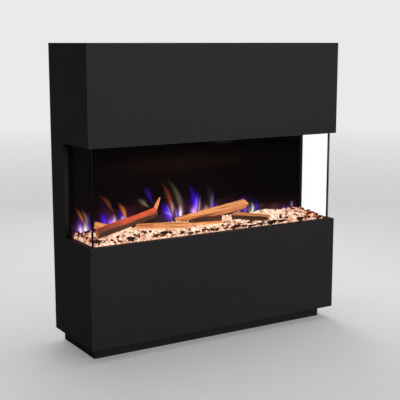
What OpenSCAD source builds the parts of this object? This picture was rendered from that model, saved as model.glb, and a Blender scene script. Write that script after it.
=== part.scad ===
// Free-standing electric fireplace: a tall matt black cabinet, open to the front and both sides
// around a three-sided glass fire. Millimetres, +X to the right, +Y to the back, +Z up.
// The origin is the middle of the footprint, on the floor.

/* [Cabinet] */
// Overall width of the cabinet
body_w = 1100; // [1000:10:1400]
// Overall depth of the cabinet
body_d = 333; // [325:1:420]
// Height of the recessed plinth
plinth_h = 50; // [40:1:90]
// Height of the lower box
lower_h = 375; // [280:1:460]
// Height of the glazed window between the two boxes
window_h = 353; // [260:1:460]
// Height of the upper box
upper_h = 361; // [280:1:460]
// Thickness of the cabinet boards
board_t = 15; // [12:1:20]
// Depth of the closed part behind the window
rear_d = 118; // [108:1:150]
// How far the plinth stands back from the front
plinth_front_inset = 54; // [30:1:80]
// How far the plinth stands back from each side
plinth_side_inset = 32; // [10:1:60]
// How far the plinth stands back from the rear
plinth_back_inset = 9; // [5:1:40]
// Thickness of the two back panels
back_t = 3; // [3:0.5:6]
// How far the back panels lie in from the rear edges
back_inset = 12; // [9:1:20]
// Side of the square timber battens
batten_w = 20; // [18:1:30]

/* [Glass] */
// Thickness of the three window panes
glass_t = 6; // [4:0.5:8]
// Clearance on each face of a pane in its channel
glass_clear = 0.8; // [0.5:0.1:1.5]
// Wall of the folded glass channels
chan_wall = 1.2; // [1:0.1:2]
// Depth of the lower glass channel
lower_chan_h = 16; // [12:1:24]
// Length of pane held in the upper channel
top_grip = 10; // [6:1:16]
// How far the front pane lifts to come out of its lower channel
glass_lift = 16; // [12:1:24]
// Gap between the fire and the cabinet boards
fire_gap = 0.5; // [0.3:0.1:2]
// Thickness of the smoked mirror screen
screen_t = 4; // [3:0.5:6]
// Thickness of the flame diffuser
diffuser_t = 3; // [2:0.5:5]

/* [Fire] */
// Sheet thickness of the steel casings
steel_t = 1.5; // [1:0.1:2.5]
// Depth of the tray under the window
tray_h = 85; // [75:1:110]
// Height of the electronics housing above the window
housing_h = 70; // [60:1:110]
// Depth of the fuel bed below the rim at the front
bed_drop = 17; // [12:1:24]
// Radius of the flame rotor's rod
rod_r = 3; // [2:0.5:4]
// Radius of the flame rotor's foil vanes
vane_r = 24; // [16:1:28]
// Number of vanes along the rod
vane_count = 16; // [8:1:20]
// Radial clearance of a shaft in its bearing
run_fit = 0.05; // [0.02:0.01:0.08]

/* [Heater] */
// Length of the warm air outlet
outlet_l = 400; // [300:10:500]
// Width of the warm air outlet
outlet_w = 50; // [40:1:60]
// Radius of the blower impeller
blower_r = 28; // [22:1:32]
// Number of blower slats
slat_count = 16; // [10:1:24]
// Height of the heater housing
heater_h = 135; // [125:1:160]

/* [Controls] */
// Radius of each push button
button_r = 5; // [4:0.5:6]
// Travel of each push button
button_travel = 1.2; // [0.8:0.1:2]
// Gap around the buttons and the rocker
button_gap = 0.25; // [0.2:0.05:0.5]
// Tilt of the mains rocker to each side
rocker_tilt = 9; // [6:1:12]

/* [Fixings] */
// Radius of a panel screw's shank
screw_r = 1.75; // [1.5:0.25:2.5]
// Distance between the two wall brackets
bracket_pitch = 700; // [400:10:900]
// Radius of the wall fixing hole in each bracket
wall_hole_r = 3; // [2.5:0.5:4]
// Radius of the cable hole in the mains gland
gland_bore_r = 4; // [3:0.5:5]

/* [Hidden] */
$fn = 48;

// A hair's breadth by which every cutter passes the face that it cuts
cut = 1;

// Levels
z_lower = plinth_h;
z_rim = z_lower + lower_h;
z_ceil = z_rim + window_h;
z_top = z_ceil + upper_h;

// Cabinet faces
hw = body_w / 2;
y_front = -body_d / 2;
y_back = body_d / 2;
y_rear = y_back - rear_d;
in_x = hw - board_t;
in_front = y_front + board_t;
back_out = y_back - back_inset;
back_in = back_out - back_t;

// Glass channel, pane and casing faces, from the outside in
chan_w = glass_t + 2 * glass_clear + 2 * chan_wall;
chan_x = in_x - fire_gap;
chan_y = in_front + fire_gap;
pane_x = chan_x - chan_wall - glass_clear;
pane_y = chan_y + chan_wall + glass_clear;
case_x = chan_x - chan_w;
case_y = chan_y + chan_w;
case_back = back_in - 1.5;
seal_t = 3;
pane_gap = 0.3;
side_pane_y = pane_y + glass_t + pane_gap + seal_t;
side_pane_end = y_rear + 12;
upper_chan_h = top_grip + glass_lift + 4;
pane_low = z_rim - lower_chan_h + chan_wall + pane_gap;
pane_high = z_ceil + top_grip;

// Screen, diffuser and their rails
rail_h = 10;
rail_front = y_rear - 2;
screen_y = y_rear;
diffuser_y = screen_y + screen_t + 4;
rail_back = diffuser_y + diffuser_t + 2;
rail_clear = 0.3;
rail_half = case_x - steel_t;
screen_low = z_rim - 15;
screen_high = z_ceil - 2;

// Flame works behind the screen
plate_y = rail_back + 5;
rotor_y = (plate_y + steel_t + case_back) / 2;
tray_floor = z_rim - tray_h;
rotor_z = tray_floor + steel_t + vane_r + 28;
bush_r = 6;
bush_l = 8;
bracket_x = case_x - 24;
motor_r = 24;
motor_l = 18;
motor_x = bracket_x - motor_l;
vane_pitch = (2 * bracket_x - 60) / vane_count;
vane_l = vane_pitch * 0.6;
vane_t = 0.8;
hub_r = 5;
pcb_t = 1.6;
led_s = 5;
led_h = 2;
led_board_z = tray_floor + steel_t + 8;

// Fuel bed
bed_front = case_y + steel_t + 0.5;
bed_back = rail_front - 0.5;
bed_x = case_x - steel_t - 0.5;
bed_z = z_rim - bed_drop;
bed_t = 2.5;
bed_front_top = z_rim + 3;
bed_back_top = z_rim + 14;
bed_slope = 60;
bed_y0 = bed_front + bed_t + 0.3;
ledge_w = 8;

// Heater unit, under the top panel
heater_top = z_top - board_t;
heater_low = heater_top - heater_h;
heater_t = 1.2;
outlet_y = -35;
heater_front = outlet_y - outlet_w / 2 - 8;
heater_back = heater_front + 2 * blower_r + 60;
heater_x = outlet_l / 2 - 5;
blower_y = heater_back - blower_r - 12;
blower_z = heater_low + blower_r + 14;
blower_shaft_r = 3;
blower_end = heater_x - heater_t - 3;
element_h = 22;
element_z = heater_top - 52;
grille_t = 6;
slot_w = 5;
slot_pitch = 9;

// Control panel in the top, at the right and to the rear
panel_l = 110;
panel_w = 34;
panel_h = 14;
panel_skin = 3;
panel_x = hw - 130;
panel_y = y_back - 85;
button_pitch = 22;
button_x0 = panel_x - 8;
rocker_x = panel_x - 35;
rocker_l = 16;
rocker_w = 22;
pivot_r = 1.2;
pivot_l = 1.5;
pivot_z = z_top - 4;

// Mains gland in the upper back panel
gland_x = hw - 120;
gland_z = z_ceil + housing_h + 25;
gland_r = 8;
gland_nut_r = 13;
gland_nut_t = 5;

// Wall brackets
bracket_w = 40;
bracket_t = 3;
bracket_leg = 42;
bracket_hole_z = z_top - board_t - 28;

// Screws: the head's size and the length below it
head_r = 3.5;
head_t = 2;
screw_l = 16;

// Places of the back panel's screws: x and z of each
screw_x = in_x - batten_w / 2;
screw_rows = [
  z_lower + board_t + 30, z_lower + lower_h * 0.45, tray_floor - board_t - 30,
  z_ceil + housing_h + 25, z_ceil + upper_h * 0.55, z_top - board_t - 60
];

// ---------------------------------------------------------------- helpers

// A box between two corners
module block(low, high) {
  translate(low)
    cube(high - low);
}

// The same shape on the left and on the right
module both_sides() {
  children();
  mirror([1, 0, 0])
    children();
}

// A disc or shaft along X, from x0 for a length of l
module shaft_x(x0, l, r, y, z) {
  translate([x0, y, z])
    rotate([0, 90, 0])
      cylinder(h = l, r = r);
}

// A screw or hole along +Y, from y0 for a length of l
module shaft_y(x, y0, z, l, r) {
  translate([x, y0, z])
    rotate([-90, 0, 0])
      cylinder(h = l, r = r);
}

// A round bar between two points
module bar(p, q, r) {
  d = q - p;
  l = norm(d);
  translate(p)
    rotate([0, acos(d[2] / l), atan2(d[1], d[0])])
      cylinder(h = l, r = r);
}

// The strip that follows the front and both sides of the window, seen from above
module window_strip(outer_x, outer_y, w) {
  difference() {
    translate([-outer_x, outer_y])
      square([2 * outer_x, side_pane_end - outer_y]);
    translate([-outer_x + w, outer_y + w])
      square([2 * (outer_x - w), side_pane_end - outer_y]);
  }
}

// ---------------------------------------------------------------- cabinet

// One side board, C-shaped around the window, mitred to the front panels
module side_board() {
  mitred = [[-hw, y_front], [-in_x, in_front], [-in_x, y_back], [-hw, y_back]];
  translate([0, 0, z_lower])
    linear_extrude(lower_h)
      polygon(mitred);
  translate([0, 0, z_ceil])
    linear_extrude(upper_h)
      polygon(mitred);
  block([-hw, y_rear, z_rim - cut], [-in_x, y_back, z_ceil + cut]);
}

module left_side_panel() {
  color("#1b1b1d")
    side_board();
}

module right_side_panel() {
  color("#1b1b1d")
    mirror([1, 0, 0])
      side_board();
}

// One front board, mitred at both ends
module front_board(low, height) {
  translate([0, 0, low])
    linear_extrude(height)
      polygon([[-hw, y_front], [hw, y_front], [in_x, in_front], [-in_x, in_front]]);
}

module lower_front_panel() {
  color("#2b2929")
    front_board(z_lower, lower_h);
}

module upper_front_panel() {
  color("#2b2929")
    front_board(z_ceil, upper_h);
}

// The top, cut out for the warm air grille and for the control panel
module top_panel() {
  color("#232323")
    difference() {
      block([-in_x, in_front, heater_top], [in_x, y_back, z_top]);
      block([-outlet_l / 2, outlet_y - outlet_w / 2, heater_top - cut],
            [outlet_l / 2, outlet_y + outlet_w / 2, z_top + cut]);
      block([panel_x - panel_l / 2, panel_y - panel_w / 2, heater_top - cut],
            [panel_x + panel_l / 2, panel_y + panel_w / 2, z_top + cut]);
    }
}

module bottom_panel() {
  color("#232323")
    block([-in_x, in_front, z_lower], [in_x, back_in, z_lower + board_t]);
}

// The shelf that carries the fire
module insert_shelf() {
  color("#232323")
    block([-in_x, in_front, tray_floor - board_t], [in_x, back_in, tray_floor]);
}

// Battens: two under the shelf, and four upright ones that the back panels are screwed to
module battens() {
  low_h = tray_floor - board_t - batten_w - z_lower - board_t;
  color("#b08d62")
    both_sides() {
      block([-in_x, in_front + 20, tray_floor - board_t - batten_w],
            [-in_x + batten_w, back_in, tray_floor - board_t]);
      difference() {
        union() {
          block([-in_x, back_in - batten_w, z_lower + board_t],
                [-in_x + batten_w, back_in, z_lower + board_t + low_h]);
          block([-in_x, back_in - batten_w, z_ceil + housing_h + 5],
                [-in_x + batten_w, back_in, z_top - board_t]);
        }
        for (z = screw_rows)
          shaft_y(-screw_x, back_out - screw_l, z, screw_l, screw_r);
      }
    }
}

// Rows of upright vent slots
module vent_slots(half_l, z, h) {
  for (x = [-half_l : 20 : half_l])
    block([x - 3, back_in - cut, z], [x + 3, back_out + cut, z + h]);
}

module lower_back_panel() {
  color("#6b5a45")
    difference() {
      block([-in_x, back_in, z_lower + board_t], [in_x, back_out, z_rim]);
      vent_slots(300, z_rim - 60, 36);
      for (s = [-1, 1])
        for (z = screw_rows)
          shaft_y(s * screw_x, back_in - cut, z, back_t + 2 * cut, screw_r);
    }
}

module upper_back_panel() {
  color("#6b5a45")
    difference() {
      block([-in_x, back_in, z_ceil], [in_x, back_out, z_top - board_t - bracket_t - 1]);
      vent_slots(300, z_ceil + 60, 50);
      vent_slots(300, z_ceil + 160, 50);
      shaft_y(gland_x, back_in - cut, gland_z, back_t + 2 * cut, gland_r);
      for (s = [-1, 1])
        for (z = screw_rows)
          shaft_y(s * screw_x, back_in - cut, z, back_t + 2 * cut, screw_r);
    }
}

plinth_x = hw - plinth_side_inset;
plinth_y0 = y_front + plinth_front_inset;
plinth_y1 = y_back - plinth_back_inset;

module plinth_front() {
  color("#212121")
    block([-plinth_x, plinth_y0, 0], [plinth_x, plinth_y0 + board_t, plinth_h]);
}

module plinth_back() {
  color("#212121")
    block([-plinth_x, plinth_y1 - board_t, 0], [plinth_x, plinth_y1, plinth_h]);
}

module plinth_sides() {
  color("#212121")
    both_sides()
      block([-plinth_x, plinth_y0 + board_t, 0],
            [-plinth_x + board_t, plinth_y1 - board_t, plinth_h]);
}

// One pan head screw that points along -Y, its head against a face at y
module pan_screw(x, y, z) {
  shaft_y(x, y - screw_l + back_t, z, screw_l - back_t, screw_r);
  difference() {
    shaft_y(x, y, z, head_t, head_r);
    block([x - 2.4, y + head_t - 0.8, z - 0.4], [x + 2.4, y + head_t + cut, z + 0.4]);
    block([x - 0.4, y + head_t - 0.8, z - 2.4], [x + 0.4, y + head_t + cut, z + 2.4]);
  }
}

module panel_screws() {
  color("#8d8f92")
    for (s = [-1, 1])
      for (z = screw_rows)
        pan_screw(s * screw_x, back_out, z);
}

// Two angle brackets under the rear of the top, each with a hole for a screw into the wall
module wall_brackets() {
  color("#3a3b3d")
    both_sides()
      translate([bracket_pitch / 2, 0, 0])
        difference() {
          union() {
            block([-bracket_w / 2, y_back - 60, heater_top - bracket_t],
                  [bracket_w / 2, y_back, heater_top]);
            block([-bracket_w / 2, y_back - bracket_t, heater_top - bracket_leg],
                  [bracket_w / 2, y_back, heater_top - bracket_t]);
          }
          shaft_y(0, y_back - bracket_t - cut, bracket_hole_z, bracket_t + 2 * cut, wall_hole_r);
        }
}

// The mains gland: a flanged sleeve through the back panel, with a hexagon collar
module cable_gland() {
  color("#161616")
    difference() {
      union() {
        shaft_y(gland_x, back_in - 8, gland_z, 8 + back_t + 8, gland_r);
        translate([gland_x, back_out, gland_z])
          rotate([-90, 0, 0])
            cylinder(h = gland_nut_t, r = gland_nut_r, $fn = 6);
        shaft_y(gland_x, back_in - 5, gland_z, 5, gland_nut_r - 2);
      }
      shaft_y(gland_x, back_in - 8 - cut, gland_z, 16 + back_t + 2 * cut, gland_bore_r);
    }
}

// ---------------------------------------------------------------- steel casings

// The folded tray under the window: floor, four walls and the ledge that the bed tray lies on
module base_tray() {
  inner_x = case_x - steel_t;
  inner_y = case_y + steel_t;
  ledge_z = bed_z - bed_t;
  color("#18191a") {
    difference() {
      block([-case_x, case_y, tray_floor], [case_x, case_back, z_rim]);
      block([-inner_x, inner_y, tray_floor + steel_t], [inner_x, case_back - steel_t, ledge_z - steel_t]);
      block([-inner_x + ledge_w, inner_y + ledge_w, tray_floor + steel_t],
            [inner_x - ledge_w, bed_back, z_rim + cut]);
      block([-inner_x, inner_y, ledge_z], [inner_x, bed_back, z_rim + cut]);
      block([-inner_x, bed_back - cut, tray_floor + steel_t], [inner_x, case_back - steel_t, z_rim + cut]);
    }
  }
}

// The steel back of the window: rear wall, two sides and their front flanges
module back_casing() {
  cheek_x = in_x - fire_gap;
  flange = cheek_x - rail_half;
  cheek_y = side_pane_end + 1;
  color("#18191a")
    difference() {
      block([-cheek_x, cheek_y, z_rim], [cheek_x, case_back, z_ceil]);
      block([-cheek_x + steel_t, cheek_y + steel_t, z_rim - cut],
            [cheek_x - steel_t, case_back - steel_t, z_ceil + cut]);
      block([-cheek_x + flange, cheek_y - cut, z_rim - cut],
            [cheek_x - flange, cheek_y + 2 * steel_t, z_ceil + cut]);
      for (x = [-320 : 20 : 320])
        block([x - 3, case_back - steel_t - cut, z_ceil - 50], [x + 3, case_back + cut, z_ceil - 14]);
    }
}

// The electronics housing above the window; its floor is the ceiling of the window
module top_housing() {
  color("#18191a")
    difference() {
      block([-case_x, case_y, z_ceil], [case_x, case_back, z_ceil + housing_h]);
      block([-case_x + steel_t, case_y + steel_t, z_ceil + steel_t],
            [case_x - steel_t, case_back - steel_t, z_ceil + housing_h + cut]);
    }
}

// U-shaped channel under the three panes
module lower_glass_channel() {
  slot_x = chan_x - chan_wall;
  slot_y = chan_y + chan_wall;
  slot = chan_w - 2 * chan_wall;
  color("#1d1d1e")
    difference() {
      translate([0, 0, z_rim - lower_chan_h])
        linear_extrude(lower_chan_h)
          window_strip(chan_x, chan_y, chan_w);
      translate([0, 0, z_rim - lower_chan_h + chan_wall])
        linear_extrude(lower_chan_h)
          window_strip(slot_x, slot_y, slot);
    }
}

// The same channel over the panes, deep enough for the front pane to lift into
module upper_glass_channel() {
  slot_x = chan_x - chan_wall;
  slot_y = chan_y + chan_wall;
  slot = chan_w - 2 * chan_wall;
  color("#1d1d1e")
    difference() {
      translate([0, 0, z_ceil])
        linear_extrude(upper_chan_h)
          window_strip(chan_x, chan_y, chan_w);
      translate([0, 0, z_ceil - chan_wall])
        linear_extrude(upper_chan_h)
          window_strip(slot_x, slot_y, slot);
    }
}

// ---------------------------------------------------------------- glass

module front_glass() {
  color([0.6, 0.7, 0.75, 0.3])
    block([-pane_x, pane_y, pane_low], [pane_x, pane_y + glass_t, pane_high]);
}

module side_pane() {
  block([-pane_x, side_pane_y, pane_low], [-pane_x + glass_t, side_pane_end, pane_high]);
}

module left_glass() {
  color([0.6, 0.7, 0.75, 0.3])
    side_pane();
}

module right_glass() {
  color([0.6, 0.7, 0.75, 0.3])
    mirror([1, 0, 0])
      side_pane();
}

// Black strips on the front edges of the side panes
module corner_seals() {
  color("#0c0c0c")
    both_sides()
      block([-pane_x, side_pane_y - seal_t, pane_low], [-pane_x + glass_t, side_pane_y, pane_high]);
}

module flame_screen() {
  color([0.08, 0.06, 0.06, 0.8])
    block([-rail_half + 0.5, screen_y, screen_low], [rail_half - 0.5, screen_y + screen_t, screen_high]);
}

module flame_diffuser() {
  color([0.9, 0.88, 0.85, 0.7])
    block([-rail_half + 0.5, diffuser_y, screen_low],
          [rail_half - 0.5, diffuser_y + diffuser_t, screen_high]);
}

// The upper and lower rails that hold the screen and the diffuser by their edges
module screen_rails() {
  color("#131313")
    difference() {
      union() {
        block([-rail_half, rail_front, screen_low - 3], [rail_half, rail_back, screen_low - 3 + rail_h]);
        block([-rail_half, rail_front, z_ceil - rail_h], [rail_half, rail_back, z_ceil]);
      }
      block([-rail_half - cut, screen_y - rail_clear, screen_low],
            [rail_half + cut, screen_y + screen_t + rail_clear, screen_high + rail_clear]);
      block([-rail_half - cut, diffuser_y - rail_clear, screen_low],
            [rail_half + cut, diffuser_y + diffuser_t + rail_clear, screen_high + rail_clear]);
    }
}

// ---------------------------------------------------------------- flame works

// A leaning flame-shaped opening, w wide and h tall, drawn from its root
module tongue(w, h, lean) {
  polygon(concat(
    [for (i = [0 : 5]) let (u = i / 6) [-w / 2 * cos(75 * u) + lean * u * u, h * u]],
    [[lean, h]],
    [for (i = [5 : -1 : 0]) let (u = i / 6) [w / 2 * cos(75 * u) + lean * u * u, h * u]]
  ));
}

// The steel plate whose openings give the flames their shape
module flame_plate() {
  half = rail_half - 15;
  count = 19;
  pitch = 2 * half / (count + 1);
  color("#7d7f82")
    translate([0, plate_y + steel_t, 0])
      rotate([90, 0, 0])
        linear_extrude(steel_t)
          difference() {
            translate([-half, tray_floor + steel_t])
              square([2 * half, z_rim + 195 - tray_floor - steel_t]);
            for (i = [1 : count])
              translate([-half + pitch * i, z_rim - 25])
                tongue(18 + 6 * sin(i * 137), 110 + 60 * sin(i * 97), 14 * sin(i * 61));
          }
}

// The stands at both ends of the rotor
module rotor_brackets() {
  foot = 16;
  color("#55585c")
    difference() {
      both_sides() {
        block([-bracket_x - steel_t, rotor_y - 20, tray_floor + steel_t],
              [-bracket_x, rotor_y + 20, rotor_z + 16]);
        block([-bracket_x - steel_t, rotor_y - 20, tray_floor + steel_t],
              [-bracket_x + foot, rotor_y + 20, tray_floor + 2 * steel_t]);
      }
      shaft_x(-bracket_x - steel_t - cut, steel_t + 2 * cut, bush_r, rotor_y, rotor_z);
      shaft_x(bracket_x - cut, steel_t + 2 * cut, bush_r, rotor_y, rotor_z);
    }
}

// Nylon bearing in the left bracket
module rotor_bush() {
  color("#e6e2d6")
    difference() {
      union() {
        shaft_x(-bracket_x - steel_t - 3, bush_l, bush_r, rotor_y, rotor_z);
        shaft_x(-bracket_x, bush_l - steel_t - 3, bush_r + 2, rotor_y, rotor_z);
      }
      shaft_x(-bracket_x - steel_t - 3 - cut, bush_l + 2 * cut, rod_r + run_fit, rotor_y, rotor_z);
    }
}

// The flame rotor's rod, from the bush to inside the motor
module rotor_rod() {
  color("#b9bbbd")
    shaft_x(-bracket_x - steel_t - 2, motor_x + 8 + bracket_x + steel_t + 2, rod_r, rotor_y, rotor_z);
}

// One star of bright foil blades on its hub
module vane(turn) {
  difference() {
    union() {
      rotate([0, 90, 0])
        cylinder(h = vane_l, r = hub_r);
      for (a = [0 : 90 : 270])
        rotate([turn + a, 0, 0])
          translate([vane_l * 0.1, -vane_t / 2, 0])
            cube([vane_l * 0.8, vane_t, vane_r]);
    }
    translate([-cut, 0, 0])
      rotate([0, 90, 0])
        cylinder(h = vane_l + 2 * cut, r = rod_r);
  }
}

module rotor_vanes() {
  color("#d8dadd")
    for (i = [0 : vane_count - 1])
      translate([-bracket_x + 20 + vane_pitch * i, rotor_y, rotor_z])
        vane(i * 25);
}

// Slow synchronous motor, with a blind hole that takes the rod's end
module flame_motor() {
  color("#9a8f55")
    difference() {
      union() {
        shaft_x(motor_x + 2, motor_l - 2, motor_r, rotor_y, rotor_z);
        shaft_x(motor_x, 2, 7, rotor_y, rotor_z);
      }
      shaft_x(motor_x - cut, 10 + cut, rod_r + run_fit, rotor_y, rotor_z);
    }
}

// A row of light-emitting diodes on a narrow board that stands on spacers
module led_row(half, y, z, pitch) {
  block([-half, y - 8, z], [half, y + 8, z + pcb_t]);
  for (x = [-half + pitch / 2 : pitch : half])
    block([x - led_s / 2, y - led_s / 2, z + pcb_t], [x + led_s / 2, y + led_s / 2, z + pcb_t + led_h]);
  for (s = [-1, 0, 1])
    translate([s * (half - 12), y, tray_floor + steel_t])
      cylinder(h = z - tray_floor - steel_t, r = 3);
}

module flame_led_board() {
  color("#2c6e49")
    led_row(motor_x - 40, rotor_y, led_board_z, 50);
}

module bed_led_boards() {
  bed_mid = (bed_front + bed_back) / 2;
  color("#e8e8e4")
    for (y = [bed_mid - 45, bed_mid + 45])
      led_row(case_x - 40, y, led_board_z + 14, 60);
}

// ---------------------------------------------------------------- fuel bed

// Translucent moulding that spreads the light and holds the loose fuel
module bed_tray() {
  lip = bed_front_top - 6 - bed_z;
  color([0.95, 0.85, 0.75, 0.8])
    difference() {
      block([-bed_x, bed_front, bed_z - bed_t], [bed_x, bed_back, bed_z + lip]);
      block([-bed_x + bed_t, bed_front + bed_t, bed_z], [bed_x - bed_t, bed_back - bed_t, bed_z + lip + cut]);
      for (y = [bed_front + 60, bed_back - 60])
        block([-bed_x + 40, y - 2, bed_z - 1], [bed_x - 40, y + 2, bed_z + cut]);
    }
}

// The layer of loose crushed crystals, level at the rear and sloping down to the front
module fuel_crystals() {
  y1 = bed_back - bed_t - 0.3;
  x1 = bed_x - bed_t - 0.3;
  color("#ffd9c4")
    translate([-x1, 0, 0])
      rotate([90, 0, 90])
        linear_extrude(2 * x1)
          polygon([[bed_y0, bed_z], [y1, bed_z], [y1, bed_back_top], [bed_y0 + bed_slope, bed_back_top],
                   [bed_y0, bed_front_top]]);
}

// Height of the crystals at a given depth
function bed_top(y) =
  min(bed_back_top, bed_front_top + (bed_back_top - bed_front_top) * (y - bed_y0) / bed_slope);

// Dark chips of imitation bark along the front edge and in the left corner
module ember_chips() {
  color("#3a1712")
    for (i = [0 : 17]) {
      x = -bed_x + 24 + i * (2 * bed_x - 48) / 17;
      y = bed_y0 + 12 + 5 * sin(i * 83);
      translate([x, y, bed_top(y) + 7])
        rotate([0, 12 * sin(i * 47), i * 71])
          cube([17 + 4 * sin(i * 29), 11, 6], center = true);
    }
}

// The logs. Each has the two ends of its axis and the radius at each end. An end is its share of
// the bed's half width, its distance in front of the screen's rail and its height above the rim.
log_left_long_at = [[-0.940, 143.5, 36.6], [-0.373, 42.5, 72], 17, 17];
log_left_stub_at = [[-0.857, 31.5, 48], [-0.735, 26.5, 31], 15, 12];
log_left_split_at = [[-0.555, 64.5, 29.5], [-0.199, 138.5, 30], 12, 15];
log_left_tip_at = [[-0.360, 14.5, 65], [-0.308, 14.5, 119], 9, 6];
log_right_split_at = [[-0.245, 76.5, 43], [0.4325, 36.5, 66], 8, 19];
log_right_rear_at = [[0.270, 73.5, 31], [0.490, 160, 26.5], 14, 9];
log_right_bark_at = [[-0.113, 58.5, 27], [0.145, 91.5, 27], 11, 11];
log_right_strip_at = [[-0.153, 108.5, 23.5], [0.110, 130.5, 22.5], 8, 8];

function log_end(e) = [e[0] * bed_x, rail_front - e[1], z_rim + e[2]];

module log_piece(at) {
  start = log_end(at[0]);
  run = log_end(at[1]) - start;
  translate(start)
    rotate([0, acos(run[2] / norm(run)), atan2(run[1], run[0])])
      cylinder(h = norm(run), r1 = at[2], r2 = at[3]);
}

module log_left_long() {
  color("#5a2c1c")
    log_piece(log_left_long_at);
}

module log_left_stub() {
  color("#e8a070")
    log_piece(log_left_stub_at);
}

module log_left_split() {
  color("#e9935c")
    log_piece(log_left_split_at);
}

module log_left_tip() {
  color("#d9692f")
    log_piece(log_left_tip_at);
}

module log_right_split() {
  color("#efa06a")
    log_piece(log_right_split_at);
}

module log_right_rear() {
  color("#7a3a20")
    log_piece(log_right_rear_at);
}

module log_right_bark() {
  color("#4a2418")
    log_piece(log_right_bark_at);
}

module log_right_strip() {
  color("#e07a3c")
    log_piece(log_right_strip_at);
}

// Lens of the remote control's receiver, hanging from the ceiling behind the front pane
module receiver_window() {
  lens_x = 27;
  color("#2a1a16")
    difference() {
      block([lens_x - 45, case_y + 1, z_ceil - 14], [lens_x + 45, case_y + 9, z_ceil]);
      block([lens_x - 42, case_y + 1 - cut, z_ceil - 11.5], [lens_x + 42, case_y + 2, z_ceil - 2.5]);
    }
}

// ---------------------------------------------------------------- heater

// The housing around the blower and the element, open at the top into the grille
module heater_housing() {
  color("#8f9295")
    difference() {
      block([-heater_x, heater_front, heater_low], [heater_x, heater_back, heater_top]);
      block([-heater_x + heater_t, heater_front + heater_t, heater_low + heater_t],
            [heater_x - heater_t, heater_back - heater_t, heater_top - heater_t]);
      block([-heater_x + heater_t, outlet_y - outlet_w / 2 + 3, heater_top - 2 * heater_t],
            [heater_x - heater_t, outlet_y + outlet_w / 2 - 3, heater_top + cut]);
      for (x = [-heater_x + 15 : 12 : heater_x - 15])
        block([x - 2.5, heater_back - heater_t - cut, heater_low + 12],
              [x + 2.5, heater_back + cut, heater_low + 60]);
      shaft_x(-heater_x - cut, heater_t + 2 * cut, blower_shaft_r + run_fit, blower_y, blower_z);
      shaft_x(heater_x - heater_t - cut, heater_t + 2 * cut, blower_shaft_r + 2, blower_y, blower_z);
    }
}

// Finned ceramic element across the outlet
module heating_element() {
  fins = 36;
  half = heater_x - heater_t;
  pitch = 2 * (half - 8) / fins;
  low = heater_front + heater_t + 2;
  high = outlet_y + outlet_w / 2 - 5;
  color("#c9cbcd")
    union() {
      for (y = [low, (low + high) / 2 - 2, high - 4])
        block([-half, y, element_z], [half, y + 4, element_z + element_h]);
      for (i = [0 : fins])
        block([-half + 8 + i * pitch - 0.4, low, element_z + 2],
              [-half + 8 + i * pitch + 0.4, high, element_z + element_h - 2]);
    }
}

// Drum of slats between discs, with its shaft
module blower_impeller() {
  slat_r = blower_r - 4;
  color("#a9adb0")
    union() {
      for (x = [-blower_end + 4, -0.75, blower_end - 5.5])
        shaft_x(x, 1.5, blower_r, blower_y, blower_z);
      for (i = [0 : slat_count - 1])
        translate([-blower_end + 4, blower_y, blower_z])
          rotate([i * 360 / slat_count, 0, 0])
            translate([0, slat_r - 3, -0.5])
              cube([2 * blower_end - 8, 6, 1]);
      shaft_x(-heater_x - 4, 2 * heater_x + 16, blower_shaft_r, blower_y, blower_z);
    }
}

module blower_motor() {
  motor_len = 30;
  color("#6d7074")
    difference() {
      union() {
        shaft_x(heater_x + 2, motor_len, 22, blower_y, blower_z);
        block([heater_x, blower_y - 30, blower_z - 8], [heater_x + 2, blower_y + 30, blower_z + 8]);
      }
      shaft_x(heater_x - cut, 14 + cut, blower_shaft_r + run_fit, blower_y, blower_z);
    }
}

// The slotted grille that the warm air leaves by, flush with the top, its skirt on the heater housing
module outlet_grille() {
  half = outlet_l / 2 - 0.5;
  half_w = outlet_w / 2 - 0.5;
  skirt = 4;
  slots = floor((2 * half_w - 8) / slot_pitch);
  color("#121212")
    difference() {
      block([-half, outlet_y - half_w, heater_top], [half, outlet_y + half_w, z_top]);
      block([-half + skirt, outlet_y - half_w + skirt, heater_top - cut],
            [half - skirt, outlet_y + half_w - skirt, z_top - grille_t]);
      for (i = [0 : slots - 1])
        for (x = [-half + 6 : (2 * half - 6) / 4 : half - 12])
          translate([x, outlet_y + (i - (slots - 1) / 2) * slot_pitch - slot_w / 2, z_top - grille_t - cut])
            cube([(2 * half - 6) / 4 - 6, slot_w, grille_t + 2 * cut]);
    }
}

// ---------------------------------------------------------------- electronics and controls

// Circuit board in the housing above the window, with what is soldered to it
module control_board() {
  x0 = case_x - 320;
  y0 = 0;
  z0 = z_ceil + steel_t;
  top = z0 + 8 + pcb_t;
  color("#2c6e49")
    union() {
      block([x0, y0, z0 + 8], [x0 + 180, y0 + 100, top]);
      for (x = [x0 + 8, x0 + 172])
        for (y = [y0 + 8, y0 + 92])
          translate([x, y, z0])
            cylinder(h = 8, r = 3);
      block([x0 + 12, y0 + 30, top], [x0 + 54, y0 + 66, top + 32]);
      for (i = [0 : 2])
        block([x0 + 70 + i * 24, y0 + 56, top], [x0 + 88 + i * 24, y0 + 84, top + 16]);
      for (i = [0 : 3])
        translate([x0 + 74 + i * 18, y0 + 36, top])
          cylinder(h = 20, r = 6);
      block([x0 + 70, y0 + 4, top], [x0 + 160, y0 + 14, top + 11]);
    }
}

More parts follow.
